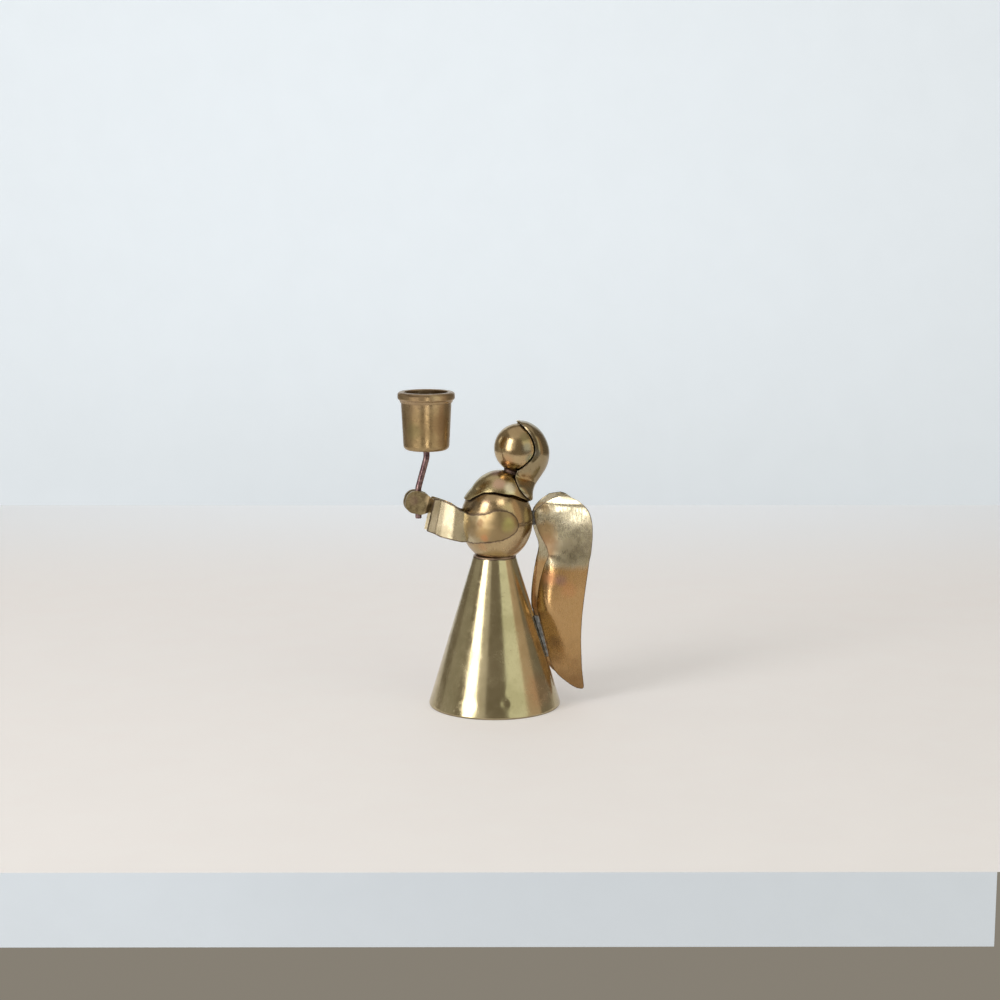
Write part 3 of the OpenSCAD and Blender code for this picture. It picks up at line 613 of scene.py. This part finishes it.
# The dome that the cape follows, and the hair that ends on it
CAPE_LIFT = CAPE_T + WRAP_GAP
NECK_CLEAR = 0.5
neck_polar = math.degrees(math.atan(math.tan(NECK_LEAN) * BODY_HALF_H / BODY_R))
hole_polar = math.degrees(math.asin((NECK_R + NECK_CLEAR) / (BODY_R + CAPE_LIFT + CAPE_CROWN)))


def dome_at(flat, off=0.0):
    """Place on the cape's dome. flat is degrees down from the top, as a vector to the side and back."""
    behind = flat[1] - neck_polar
    away = math.hypot(flat[0] * CROWN_SIDE_PULL, behind * (CROWN_BACK_PULL if behind > 0 else 1))
    lift = CAPE_LIFT + CAPE_CROWN * max(0, math.cos(math.radians(CROWN_SPAN * away))) + off
    polar, turn = math.radians(math.hypot(*flat)), math.atan2(flat[0], -flat[1])
    return body_c + np.array([(BODY_R + lift) * math.sin(polar) * math.sin(turn),
                              -(BODY_R + lift) * math.sin(polar) * math.cos(turn),
                              (BODY_HALF_H + lift) * math.cos(polar)])


def dome_point(polar, way, off=0.0):
    return dome_at(polar * np.array([math.sin(math.radians(way)), -math.cos(math.radians(way))]), off)


HAIR_LINE = [  # the middle line behind the ball: back and up from its centre, in radii of the ball
    [0.04, 1.06], [0.34, 1.03], [0.70, 0.83], [0.98, 0.51], [1.17, 0.06], [1.20, -0.34], [1.11, -0.75],
    [0.88, -1.14], [0.72, -1.38], [0.64, -1.50]]
HAIR_EDGE = [  # the edge beside the ball: aside, back and up, in the same way
    [0.14, -0.02, 1.07], [0.49, 0.09, 0.98], [0.73, 0.24, 0.79], [0.91, 0.42, 0.46], [0.98, 0.49, 0.04],
    [0.98, 0.43, -0.23], [0.92, 0.18, -0.53], [0.76, -0.08, -0.81], [0.63, -0.26, -1.03]]
TAIL_LINE = [  # the middle line on the cape: degrees down from the top, and radii of the ball off the dome
    [52.3, 0.16], [54.0, 0.09], [56.3, 0.04], [59.2, 0.01], [62.1, 0]]
TAIL_EDGE = [  # the edge on the cape: degrees down from the top and round from the front
    [33.1, 129.9], [42.0, 127.2], [49.8, 132.8], [56.0, 142.5], [60.0, 155.0], [62.0, 170.0]]
TAIL_LIFT = HAIR_T + 1.5 * WRAP_GAP
TAP_MOST = 1.1  # mm by which the edge of the hair is tapped down towards the ball
TAP_BAND = math.radians(12)  # seen from its middle, the end of each row that is tapped
TAP_NEAR, TAP_FAR = 1.15, 1.4  # radii of the ball, between which the tapping fades
hair_line = [head_c + HEAD_R * np.array([0, y, z]) for y, z in HAIR_LINE]
hair_line += [dome_point(polar, 180, TAIL_LIFT + off * HEAD_R) for polar, off in TAIL_LINE]
hair_edge = [head_c + HEAD_R * np.array(e) for e in HAIR_EDGE]
hair_edge += [dome_point(*e, TAIL_LIFT) for e in TAIL_EDGE]


def hair_shape(rows=150, cols=91):
    """Rows that arch from one edge over the middle line to the other, with both edges tapped down."""
    u = np.linspace(0, len(hair_line) - 1, rows)
    line, edge = smooth_rows(hair_line, u)[:, None], smooth_rows(hair_edge, u)[:, None]
    a = np.linspace(-math.pi / 2, math.pi / 2, cols)[None, :]
    g = lerp(edge, line, np.cos(a)[..., None])
    g[..., 0] = edge[..., 0] * np.sin(a)
    out = g - head_c
    away = np.linalg.norm(out, axis=2, keepdims=True)
    near_edge = np.clip(1 - np.cos(a) / math.sin(TAP_BAND), 0, 1)[..., None]
    near_ball = np.clip((TAP_FAR - away / HEAD_R) / (TAP_FAR - TAP_NEAR), 0, 1)
    spare = np.clip(away - HEAD_R - HAIR_T - FILM, 0, TAP_MOST)
    g -= out / away * spare * (near_edge * near_ball) ** 1.5
    return *sheet(g, HAIR_T), border_of(g)


*hair, hair_border = hair_shape()
make("hair", *hair, "brass_sheet", hair_metal, bevel=0.18, border=hair_border)

HAIR_BACK, HAIR_ROUND = 1.235, 1.2  # radii of the ball: how far back the hair is there, and its curve
plug_drop = 0.22 * HEAD_R
plug_end = HAIR_BACK * HEAD_R - HAIR_PLUG_R ** 2 / (2 * HAIR_ROUND * HEAD_R) - HAIR_T - 2 * FILM


def plug_shape(steps=8, around=48):
    """A short waisted column between ball and hair."""
    rows = []
    for s in np.linspace(0, 1, steps):
        r = HAIR_PLUG_R * (0.9 + 0.1 * abs(2 * s - 1))
        ring = []
        for a in full_turn(around):
            x, z = r * math.cos(a), r * math.sin(a) - plug_drop
            start = math.sqrt((HEAD_R + FILM) ** 2 - x * x - z * z)
            ring.append(head_c + [x, lerp(start, plug_end, s), z])
        rows.append(ring)
    return tube(np.array(rows))


make("hair_solder", *plug_shape(), "solder", solder_metal)

# Cape
CAPE_EDGE = [  # degrees round from the front and down from the top
    [0, 58.5], [20, 58.3], [32, 50.5], [50, 42.5], [75, 42], [95, 46], [112, 48.5], [130, 55], [150, 61],
    [180, 64.5]]
CORNER_BLUR = 3  # degrees round over which the corners of the cut edge are softened


def cape_shape(rings=240, cols=42):
    g = np.zeros((rings, cols, 3))
    ways, drops = np.array(CAPE_EDGE).T
    for i in range(rings):
        way = 360 * i / rings
        near = [min(w % 360, 360 - w % 360) for w in (way - CORNER_BLUR, way, way + CORNER_BLUR)]
        edge = np.mean(np.interp(near, ways, drops))
        aim = np.array([math.sin(math.radians(way)), -math.cos(math.radians(way))])
        for j in range(cols):
            g[i, j] = dome_at(lerp(hole_polar * aim + [0, neck_polar], edge * aim, j / (cols - 1)))
    return *sheet(g, CAPE_T, True), border_of(g, True)


*cape, cape_border = cape_shape()
make("cape", *cape, "brass_sheet", cape_metal, bevel=0.15, border=cape_border)

# Sleeves
FOREARM = [  # lower edge forward and up, upper edge forward and up, apart; forward in forearms, up in widths
    [1.12, -0.23, 0.88, 0.81, CUFF_SPREAD],
    [1.03, -0.27, 0.81, 0.80, lerp(PINCH_SPREAD, CUFF_SPREAD, 0.7)],
    [0.88, -0.34, 0.65, 0.75, PINCH_SPREAD],
    [0.70, -0.44, 0.51, 0.69, lerp(PINCH_SPREAD, ELBOW_SPREAD, 0.22)],
    [0.35, -0.53, 0.25, 0.56, lerp(PINCH_SPREAD, ELBOW_SPREAD, 0.86)],
    [0.06, -0.60, 0.04, 0.41, ELBOW_SPREAD]]
UPPER_ARM = [  # degrees round from the front, lower edge and upper edge in sleeve widths above the middle
    [19, -0.61, 0.37], [30, -0.605, 0.33], [45, -0.58, 0.35], [62, -0.54, 0.40], [74, -0.50, 0.49],
    [87, -0.455, 0.50], [97, -0.37, 0.455], [106, -0.26, 0.34], [110.5, -0.16, 0.22], [113, -0.07, 0.07]]


def sleeve_shape(cols=33, per_row=6, upper=90):
    """The strip from cuff to elbow and on round the body, as rows from its lower to its upper edge."""
    s = np.linspace(0, 1, cols)
    rows = []
    for at in np.arange((len(FOREARM) - 1) * per_row + 1) / per_row:
        k = min(int(at), len(FOREARM) - 2)
        low_on, low_up, high_on, high_up, apart = lerp(np.array(FOREARM[k]), np.array(FOREARM[k + 1]), at - k)
        rows.append(np.stack([np.full(cols, apart / 2), body_front - lerp(low_on, high_on, s) * FOREARM_L,
                              body_z + lerp(low_up, high_up, s) * SLEEVE_W], 1))
    for u in np.linspace(0, 1, upper):
        way, low, high = smooth_rows(UPPER_ARM, [u * (len(UPPER_ARM) - 1)])[0]
        z = lerp(low, high, s) * SLEEVE_W
        grow = SLEEVE_T + WRAP_GAP + SLEEVE_BULGE * math.sin(math.pi * u) * np.sin(math.pi * s)
        r = (BODY_R + grow) * np.sqrt(1 - (z / (BODY_HALF_H + grow)) ** 2)
        turn = math.radians(way)
        rows.append(body_c + np.stack([r * math.sin(turn), -r * math.cos(turn), z], 1))
    return *sheet(np.array(rows), SLEEVE_T), border_of(np.array(rows))


*sleeve, sleeve_border = sleeve_shape()
make_pair("sleeve", *sleeve, "brass_sheet", sleeve_metal, 0.18, sleeve_border)

# Hands
WRIST_ON, WRIST_UP = 0.97, 0.56  # shares of the forearm's length and of the sleeve's width
WRIST_L = 3.0  # mm over which a hand steps out round the stem
TIP_HALF_H = 0.4  # mm, half the height at which the rounded front of a hand ends
hand_gap = 2 * (STEM_R + FILM)
wrist_h, knuckle_h = 0.6 * HAND_H, 0.94 * HAND_H
tail_l = 0.3 * FOREARM_L
wrist_c = np.array([0, body_front - WRIST_ON * FOREARM_L, body_z + WRIST_UP * SLEEVE_W])
grip_l = 0.474 * HAND_L
hand_mid = wrist_c + [0, -grip_l * math.cos(HAND_RISE), grip_l * math.sin(HAND_RISE)]
front_r = 0.44 * HAND_H
heel_r = 0.08 * HAND_H


def palm_half_h(f, inset=0.0):
    """Half the height of the hand at f mm in front of the wrist."""
    if f <= 0:
        return wrist_h / 2
    if f < WRIST_L + heel_r:
        return lerp(wrist_h, knuckle_h, f / (WRIST_L + heel_r)) / 2 - inset
    if f < HAND_L - front_r:
        return lerp(knuckle_h, HAND_H, (f - WRIST_L) / (HAND_L - front_r - WRIST_L)) / 2 - inset
    return HAND_H / 2 - front_r + math.sqrt(max(0, (front_r - inset) ** 2 - (f - HAND_L + front_r) ** 2))


def tilt(points):
    """From [x, forward, up] beside the wrist to the row frame."""
    x, f, up = np.asarray(points, float).T
    c, s = math.cos(HAND_RISE), math.sin(HAND_RISE)
    return wrist_c + np.stack([x, -f * c + up * s, f * s + up * c], 1)


def hand_shape(cols=24):
    """The plate from inside the sleeve to its rounded front, as rows from its lower to its upper edge."""
    f = np.concatenate([np.linspace(-tail_l, 0, 8), np.linspace(0, WRIST_L + heel_r, 12)[1:],
                        np.linspace(WRIST_L + heel_r, HAND_L - front_r, 12)[1:],
                        HAND_L - front_r + front_r * np.sin(np.linspace(0, math.pi / 2, 16)[1:])])
    g = []
    for q in f:
        step = np.clip(q / WRIST_L, 0, 1)
        x = lerp(FILM, hand_gap / 2, step * step * (3 - 2 * step)) + HAND_T
        half = max(palm_half_h(q), TIP_HALF_H)
        g.append([[x, q, up] for up in np.linspace(-half, half, cols)])
    points, faces = sheet(np.array(g), HAND_T)
    return tilt(points), faces


make_pair("hand", *hand_shape(), "dull_brass", hand_metal, 0.45)


def hand_fill(start, end, steps=14, cols=10):
    """One block of the solder between the hands, from start to end mm in front of the wrist."""
    half_w = hand_gap / 2 - FILM
    g = []
    for q in np.linspace(start, end, steps):
        half = palm_half_h(q, heel_r)
        up, out = np.linspace(-half, half, cols), np.linspace(-half_w, half_w, 6)
        ring = [[half_w, q, u] for u in up] + [[x, q, half] for x in out[::-1][1:]]
        ring += [[-half_w, q, u] for u in up[::-1][1:]] + [[x, q, -half] for x in out[1:-1]]
        g.append(ring)
    points, faces = tube(np.array(g))
    return tilt(points), faces


rod_room = 1.3 * (STEM_R + 2 * FILM)
near_points, near_faces = hand_fill(WRIST_L, grip_l - rod_room)
far_points, far_faces = hand_fill(grip_l + rod_room, HAND_L - heel_r)
fill_points = np.concatenate([near_points, far_points])
fill_faces = near_faces + [tuple(v + len(near_points) for v in f) for f in far_faces]
make("hand_solder", fill_points, fill_faces, "solder", solder_metal, bevel=0.3)

# Stem and cup
JOG_FROM, JOG_TO = 0.02, 0.86  # shares of the way from the hands up to the cup
stem_low = hand_mid[2] - HAND_H / 2 - STEM_TAIL
cup_z = hand_mid[2] + STEM_RISE
cup_c = np.array([0, hand_mid[1] + STEM_JOG, cup_z])
jog_start = lerp(hand_mid[2] + HAND_H / 2, cup_z, JOG_FROM)
jog_end = lerp(hand_mid[2] + HAND_H / 2, cup_z, JOG_TO)
jog_side = STEM_JOG - 2 * STEM_BEND_R
jog_lean = math.atan2(jog_end - jog_start, -jog_side) - math.acos(
    min(1, 2 * STEM_BEND_R / math.hypot(jog_end - jog_start, jog_side)))


def stem_shape(sides=32, bends=14):
    """The rod along a path of [back, up, lean]: upright, over two bends, and upright again."""
    path = [[0, z, 0] for z in np.linspace(stem_low, jog_start, 16)[:-1]]
    for s in np.linspace(0, 1, bends):
        a = jog_lean * s
        path.append([STEM_BEND_R * (1 - math.cos(a)), jog_start + STEM_BEND_R * math.sin(a), a])
    upper = []
    for s in np.linspace(1, 0, bends):
        a = jog_lean * s
        upper.append([STEM_JOG - STEM_BEND_R * (1 - math.cos(a)), jog_end - STEM_BEND_R * math.sin(a), a])
    low, high = np.array(path[-1]), np.array(upper[0])
    path += [lerp(low, high, s).tolist() for s in np.linspace(0, 1, 10)[1:-1]]
    path += upper + [[STEM_JOG, z, 0] for z in np.linspace(jog_end, cup_z, 6)[1:]]
    rings = []
    for y, z, a in path:
        rings.append([[STEM_R * math.cos(t), hand_mid[1] + y + STEM_R * math.sin(t) * math.cos(a),
                       z - STEM_R * math.sin(t) * math.sin(a)] for t in full_turn(sides)])
    return tube(np.array(rings))


make("candle_stem", *stem_shape(), "copper_rod", stem_metal, bevel=0.3)
fillet_h = 0.6 * STEM_R
collar = [[STEM_R + FILM, 0], [STEM_R + 3 * FILM, 0], [1.1 * STEM_R + 3 * FILM, 0.5 * fillet_h],
          [1.7 * STEM_R, fillet_h], [STEM_R + FILM, fillet_h]]
make("stem_solder", *lathe(collar, True, cup_c - [0, 0, fillet_h], segments=64),
     "copper_solder", brown_solder, bevel=0.08)

LIP_STEPS = [[0, 0], [0.2, 0.35], [0.25, 0.9], [0.5, 1.3]]  # mm out and up from the foot of the lip
LIP_LOW_R, LIP_LOW_UP, LIP_TOP_R, MOUTH_R = 1.0, 2.4, 1.5, 0.5  # mm, the rounds of the lip


def cup_profile():
    """[r, z] rows from the middle of the underside up the outside and down the bore."""
    lip = CUP_H - LIP_H
    side = arc(CUP_BOTTOM_R - CUP_CORNER_R, CUP_CORNER_R, CUP_CORNER_R, -90, 0, 14)
    low, high = np.array([CUP_BOTTOM_R, CUP_CORNER_R]), np.array([CUP_TOP_R, lip])
    side += [lerp(low, high, s).tolist() for s in np.linspace(0, 1, 12)[1:]]
    step_r = LIP_R - 0.25 * LIP_H
    side += [[step_r + out, lip + up] for out, up in LIP_STEPS]
    side += arc(LIP_R - LIP_LOW_R, lip + LIP_LOW_UP, LIP_LOW_R, -70, 0, 8)
    side += arc(LIP_R - LIP_TOP_R, CUP_H - LIP_TOP_R, LIP_TOP_R, 0, 90, 10)
    bore = arc(BORE_R + MOUTH_R, CUP_H - MOUTH_R, MOUTH_R, 90, 180, 6)
    return [[0, 0]] + side + bore + [[BORE_R, CUP_H - BORE_DEPTH], [0, CUP_H - BORE_DEPTH]]


cup = lathe(np.array(cup_profile()) * [ROUND_SLACK, 1], False, cup_c)
make("candle_cup", *cup, "brass_cup", cup_metal, bevel=0.12)

# Wings
WING = [  # rows from top to tip, as shares: front height, stand-off and side, back height, reach and side,
    # and along, side and weight of the point that pulls the row into a curve
    [0.995, 0.302, 0.353, 1.000, 0.754, 0.388, 0.50, 0.376, 1.0],
    [0.958, 0.137, 0.272, 0.975, 0.864, 0.741, 0.50, 0.506, 1.0],
    [0.911, 0.027, 0.145, 0.924, 0.953, 0.918, 0.50, 0.576, 1.0],
    [0.829, 0.051, 0.290, 0.840, 0.989, 0.976, 0.40, 0.641, 1.0],
    [0.738, 0.153, 0.562, 0.730, 0.975, 1.000, 0.14, 0.682, 1.0],
    [0.696, 0.167, 0.634, 0.678, 0.954, 1.000, 0.12, 0.747, 1.0],
    [0.650, 0.128, 0.553, 0.622, 0.939, 0.994, 0.12, 0.782, 1.2],
    [0.560, 0.076, 0.453, 0.526, 0.914, 0.959, 0.12, 0.812, 1.6],
    [0.470, 0.051, 0.408, 0.445, 0.899, 0.900, 0.16, 0.835, 2.2],
    [0.390, 0.054, 0.408, 0.374, 0.892, 0.829, 0.32, 0.859, 3.0],
    [0.300, 0.047, 0.399, 0.272, 0.892, 0.741, 0.50, 0.806, 3.4],
    [0.215, 0.037, 0.390, 0.177, 0.906, 0.653, 0.65, 0.718, 3.6],
    [0.150, 0.024, 0.380, 0.111, 0.919, 0.582, 0.77, 0.635, 3.6],
    [0.085, 0.057, 0.426, 0.056, 0.936, 0.529, 0.85, 0.571, 3.0],
    [0.030, 0.156, 0.462, 0.013, 0.948, 0.494, 0.88, 0.518, 2.0],
    [0.006, 0.222, 0.471, 0.001, 0.931, 0.482, 0.90, 0.488, 1.5]]
WING_FARTHEST = 0.9884  # share of the reach, just inside the row that reaches farthest
wing_top_z = body_z + WING_RISE


def back_at(z):
    return max(BODY_BACK + float(egg_r_at(max(z, body_z))), skirt_r_at(min(z, SKIRT_H)))


def wing_z(share):
    return lerp(WING_TIP_Z, wing_top_z, share)


def wing_front(at):
    """Place on the front edge of the wing, at that row of its table."""
    height, stand_off, side = smooth_rows(WING, [at])[0][:3]
    z, x = wing_z(height), side * WING_SPREAD
    r = back_at(z) + stand_off * WING_REACH
    return np.array([x, math.sqrt(r * r - x * x), z])


def wing_shape(per_row=9, cols=61):
    g, t = [], np.linspace(0, 1, cols)
    for at in np.linspace(0, len(WING) - 1, (len(WING) - 1) * per_row + 1):
        height, reach, side, pull_along, pull_side, weight = smooth_rows(WING, [at])[0][3:]
        start = wing_front(at)
        end = np.array([side * WING_SPREAD, min(reach, WING_FARTHEST) * WING_REACH, wing_z(height)])
        pull = 2 * weight * t * (1 - t)
        total = (1 - t) ** 2 + pull + t ** 2
        s = (pull * pull_along + t ** 2) / total
        x = ((1 - t) ** 2 * start[0] + pull * pull_side * WING_SPREAD + t ** 2 * end[0]) / total
        g.append(np.stack([x, lerp(start[1], end[1], s), lerp(start[2], end[2], s)], 1))
    return *sheet(np.array(g), WING_T), border_of(np.array(g))


*wing, wing_border = wing_shape()
make_pair("wing", *wing, "brass_sheet", wing_metal, 0.2, wing_border)

ROOT_ROW = 2.4  # the row of the wing table that its root solder is level with
ROOT_HALF_H = 0.0375  # half the height of that solder, as a share of the wing's
ROOT_SLACK = 0.98  # keeps the lumpy solder inside the plain block
root_front = wing_front(ROOT_ROW)
root_half_w = ROOT_SLACK * (root_front[0] - WING_T - 4 * FILM)
root_half_h = ROOT_SLACK * ROOT_HALF_H * (wing_top_z - WING_TIP_Z)


def root_shape(steps=10, around=40):
    """A lumpy block from the back of the egg to between the wings."""
    rows = []
    for s in np.linspace(0, 1, steps):
        ring = []
        for a in full_turn(around):
            square = max(abs(math.cos(a)), abs(math.sin(a))) ** 0.6
            x = root_half_w * math.cos(a) / square
            z = root_front[2] + root_half_h * math.sin(a) / square
            low = BODY_BACK + math.sqrt(max(0, float(egg_r_at(z)) ** 2 - x * x)) + 2 * FILM
            ring.append([x, lerp(low, root_front[1] + root_half_w, s), z])
        rows.append(ring)
    return tube(np.array(rows))


root_points, root_faces = root_shape()
make("wing_root_solder", rough(root_points, 0.05, 1.2, 3), root_faces, "solder", solder_metal, bevel=0.3)

STRIP_FROM, STRIP_TO, STRIP_W = 0.60, 0.773, 2.4  # shares of the wing table, and mm


def strip_shape(steps=40, across=5):
    """A lumpy strip between the skirt and the front edge of the left wing."""
    rows = []
    for share in np.linspace(STRIP_FROM, STRIP_TO, steps):
        x, y, z = wing_front(share * (len(WING) - 1))
        r = skirt_r_at(z) + 2 * FILM
        across_x = x - WING_T + np.linspace(-STRIP_W / 2, STRIP_W / 2, across)
        rows.append([[q, math.sqrt(r * r - q * q), z] for q in across_x]
                    + [[q, y - 3 * FILM, z] for q in across_x[::-1]])
    points, faces = tube(np.array(rows))
    return rough(points, 0.08, 0.9, 5), faces


make_pair("wing_solder", *strip_shape(), "solder", solder_metal, 0.15)

mark_seams()

# Stage, light and camera
VIEW_TURN = math.radians(12)  # the camera stands this far round from +X towards -Y
toward = np.array([math.cos(VIEW_TURN), -math.sin(VIEW_TURN), 0])
aside = np.array([math.sin(VIEW_TURN), math.cos(VIEW_TURN), 0])
TABLE_FRONT, TABLE_BACK, TABLE_HALF, FADE_FROM = 257, 640, 470, 250  # mm
WALL_BACK, WALL_HALF, WALL_LOW, WALL_TOP = 900, 510, -500, 800  # mm
LIGHT_AWAY, LIGHT_AIM_UP = 1500, 80  # mm
TABLE_TINT, WALL_TINT = (0.745, 0.725, 0.725), (0.72, 0.785, 0.86)
TABLE_GLOW, WALL_GLOW = 0.36, 0.46
WHITE, CREAM, WARM = (1.0, 0.99, 0.96), (1.0, 0.95, 0.85), (1.0, 0.97, 0.90)
ROOM_TINT = (0.24, 0.215, 0.175)
CAMERA_BACK, CAMERA_UP, NEAREST = 1000, 270, 50  # mm
PITCH, YAW = math.radians(9.2), math.radians(0.1598)
FOCAL_PX, IMAGE_PX, SENSOR = 1958, 1000, 36


def on_stage(forward, side, up):
    return forward * toward + side * aside + np.array([0, 0, up])


def stage_sheet(name, start, end, half, material):
    """A flat face from start to end, given as forward and up, and half its width to either side."""
    corners = [on_stage(at[0], side, at[1]) * MM
               for at, side in ((start, -half), (start, half), (end, half), (end, -half))]
    mesh = bpy.data.meshes.new(name)
    mesh.from_pydata([tuple(c) for c in corners], [], [(0, 1, 2, 3)])
    mesh.materials.append(material)
    obj = place(name, mesh)


def pale(name, colour, glow, far_colour=None, fade=(0, 1)):
    """A pale matt surface with a little light of its own, fading to far_colour away from the camera."""
    m, tree, shader, coords = nodes_of(name)
    grain = texture(tree, coords, 30, 5.0)
    tint = mix(tree, ramp(tree, grain, 0.3, 0.7), colour, tuple(0.985 * c for c in colour))
    if far_colour:
        dot = add(tree, "ShaderNodeVectorMath", operation="DOT_PRODUCT")
        tree.links.new(coords, dot.inputs[0])
        dot.inputs[1].default_value = tuple(-toward)
        tint = mix(tree, ramp(tree, dot.outputs["Value"], fade[0] * MM, fade[1] * MM), tint, far_colour)
    tree.links.new(tint, shader.inputs["Base Color"])
    tree.links.new(tint, shader.inputs["Emission Color"])
    shader.inputs["Emission Strength"].default_value = glow
    shader.inputs["Roughness"].default_value = 0.8
    shader.inputs["Specular IOR Level"].default_value = 0.1
    return m


table = pale("pale_table", TABLE_TINT, TABLE_GLOW, blend(TABLE_TINT, WALL_TINT, 0.5), (FADE_FROM, TABLE_BACK))
stage_sheet("floor", (TABLE_FRONT, 0), (-TABLE_BACK, 0), TABLE_HALF, table)
wall = pale("pale_wall", WALL_TINT, WALL_GLOW)
stage_sheet("backdrop", (-WALL_BACK, WALL_LOW), (-WALL_BACK, WALL_TOP), WALL_HALF, wall)


def softbox(name, round_deg, up_deg, half_round, half_up, strength, colour):
    """A light that covers those degrees as seen from the object, counted from the camera's side."""
    a, e = math.radians(round_deg), math.radians(up_deg)
    out = math.cos(e) * (math.cos(a) * toward + math.sin(a) * aside) + np.array([0, 0, math.sin(e)])
    light = bpy.data.lights.new(name, "AREA")
    light.shape = "RECTANGLE"
    light.size = 2 * LIGHT_AWAY * MM * math.tan(math.radians(half_round))
    light.size_y = 2 * LIGHT_AWAY * MM * math.tan(math.radians(half_up))
    light.energy = 4 * strength * light.size * light.size_y
    light.color = colour
    obj = place(name, light)
    obj.location = Vector((out * LIGHT_AWAY + [0, 0, LIGHT_AIM_UP]) * MM)
    obj.rotation_euler = Vector(out).to_track_quat("Z", "Y").to_euler()
    return obj


def link(lights, names, state="INCLUDE"):
    """Those lights fall only on the named pieces, or on all but them. Blender may number a name."""
    group = bpy.data.collections.new(f"lit_by_{lights[0].name}")
    for obj in pieces:
        if obj.name.split(".")[0] in names:
            group.objects.link(obj)
    for linked in group.collection_objects:
        linked.light_linking.link_state = state
    for light in lights:
        light.light_linking.receiver_collection = group


window = softbox("window", -47.5, 21, 10.5, 25, 3.9, WHITE)
window_side = softbox("window_side", -26, 22, 9, 22, 0.32, WHITE)
softbox("green_window", 42, 20, 18, 24, 0.58, (0.90, 1.0, 0.84))
softbox("warm_wall", 74, 12, 14, 30, 0.26, (1.0, 0.70, 0.48))
softbox("side_wall", -92, 6, 17, 26, 0.12, (0.95, 1.0, 0.92))
softbox("edge_light", -114, 22, 4, 9, 0.8, (1.0, 0.96, 0.84))
softbox("ceiling", 0, 88, 34, 34, 0.33, (1.0, 0.97, 0.92))

# Lights that fall on some pieces only
WINGS, SLEEVES = ["left_wing", "right_wing"], ["left_sleeve", "right_sleeve"]
BODY, CUP = ["body_lower", "body_upper"], ["candle_cup"]
link([softbox("upper_card", -24, 43, 14, 23, 3.5, WHITE), softbox("lower_card", -25, -4, 5.5, 6, 3.8, WHITE),
      softbox("top_card", -80, 78, 40, 8, 1.6, WHITE)], WINGS)
link([softbox("table_card", -8, -9.5, 32, 4.5, 0.40, (1.0, 0.90, 0.80))], WINGS + SLEEVES)
link([softbox("high_card", -27, 36, 9, 13, 2.6, WHITE), softbox("low_card", -29, -7, 9, 5, 2.8, WHITE),
      softbox("elbow_card", -13, -7, 7, 5, 1.3, WHITE)], SLEEVES)
link([softbox("cup_card", 3, -10, 2.2, 8, 8.0, CREAM), softbox("cup_left", -48, -8, 20, 12, 0.75, CREAM),
      softbox("cup_right", 44, -8, 15, 12, 0.55, CREAM)], CUP)
link([softbox("lamp", 20, 51, 10, 7, 2.2, WARM)], BODY)
link([window], WINGS + CUP, "EXCLUDE")
link([window_side], WINGS, "EXCLUDE")

world = bpy.data.worlds.new("room")
world.use_nodes = True
room = world.node_tree.nodes["Background"].inputs
room["Color"].default_value = (*ROOM_TINT, 1)
room["Strength"].default_value = 1.0
bpy.context.scene.world = world
bpy.context.scene.view_settings.view_transform = "Standard"

level = -toward * math.cos(YAW) + aside * math.sin(YAW)
right = aside * math.cos(YAW) + toward * math.sin(YAW)
ahead = level * math.cos(PITCH) + np.array([0, 0, -math.sin(PITCH)])
up = np.cross(right, ahead)
camera = place("camera", bpy.data.cameras.new("camera"))
camera.data.sensor_width = SENSOR
camera.data.lens = FOCAL_PX / IMAGE_PX * SENSOR
camera.data.clip_start = NEAREST * MM
turn = Matrix([[right[i], up[i], -ahead[i], 0] for i in range(3)] + [[0, 0, 0, 1]])
camera.matrix_world = Matrix.Translation(Vector(on_stage(CAMERA_BACK, 0, CAMERA_UP) * MM)) @ turn
bpy.context.scene.camera = camera
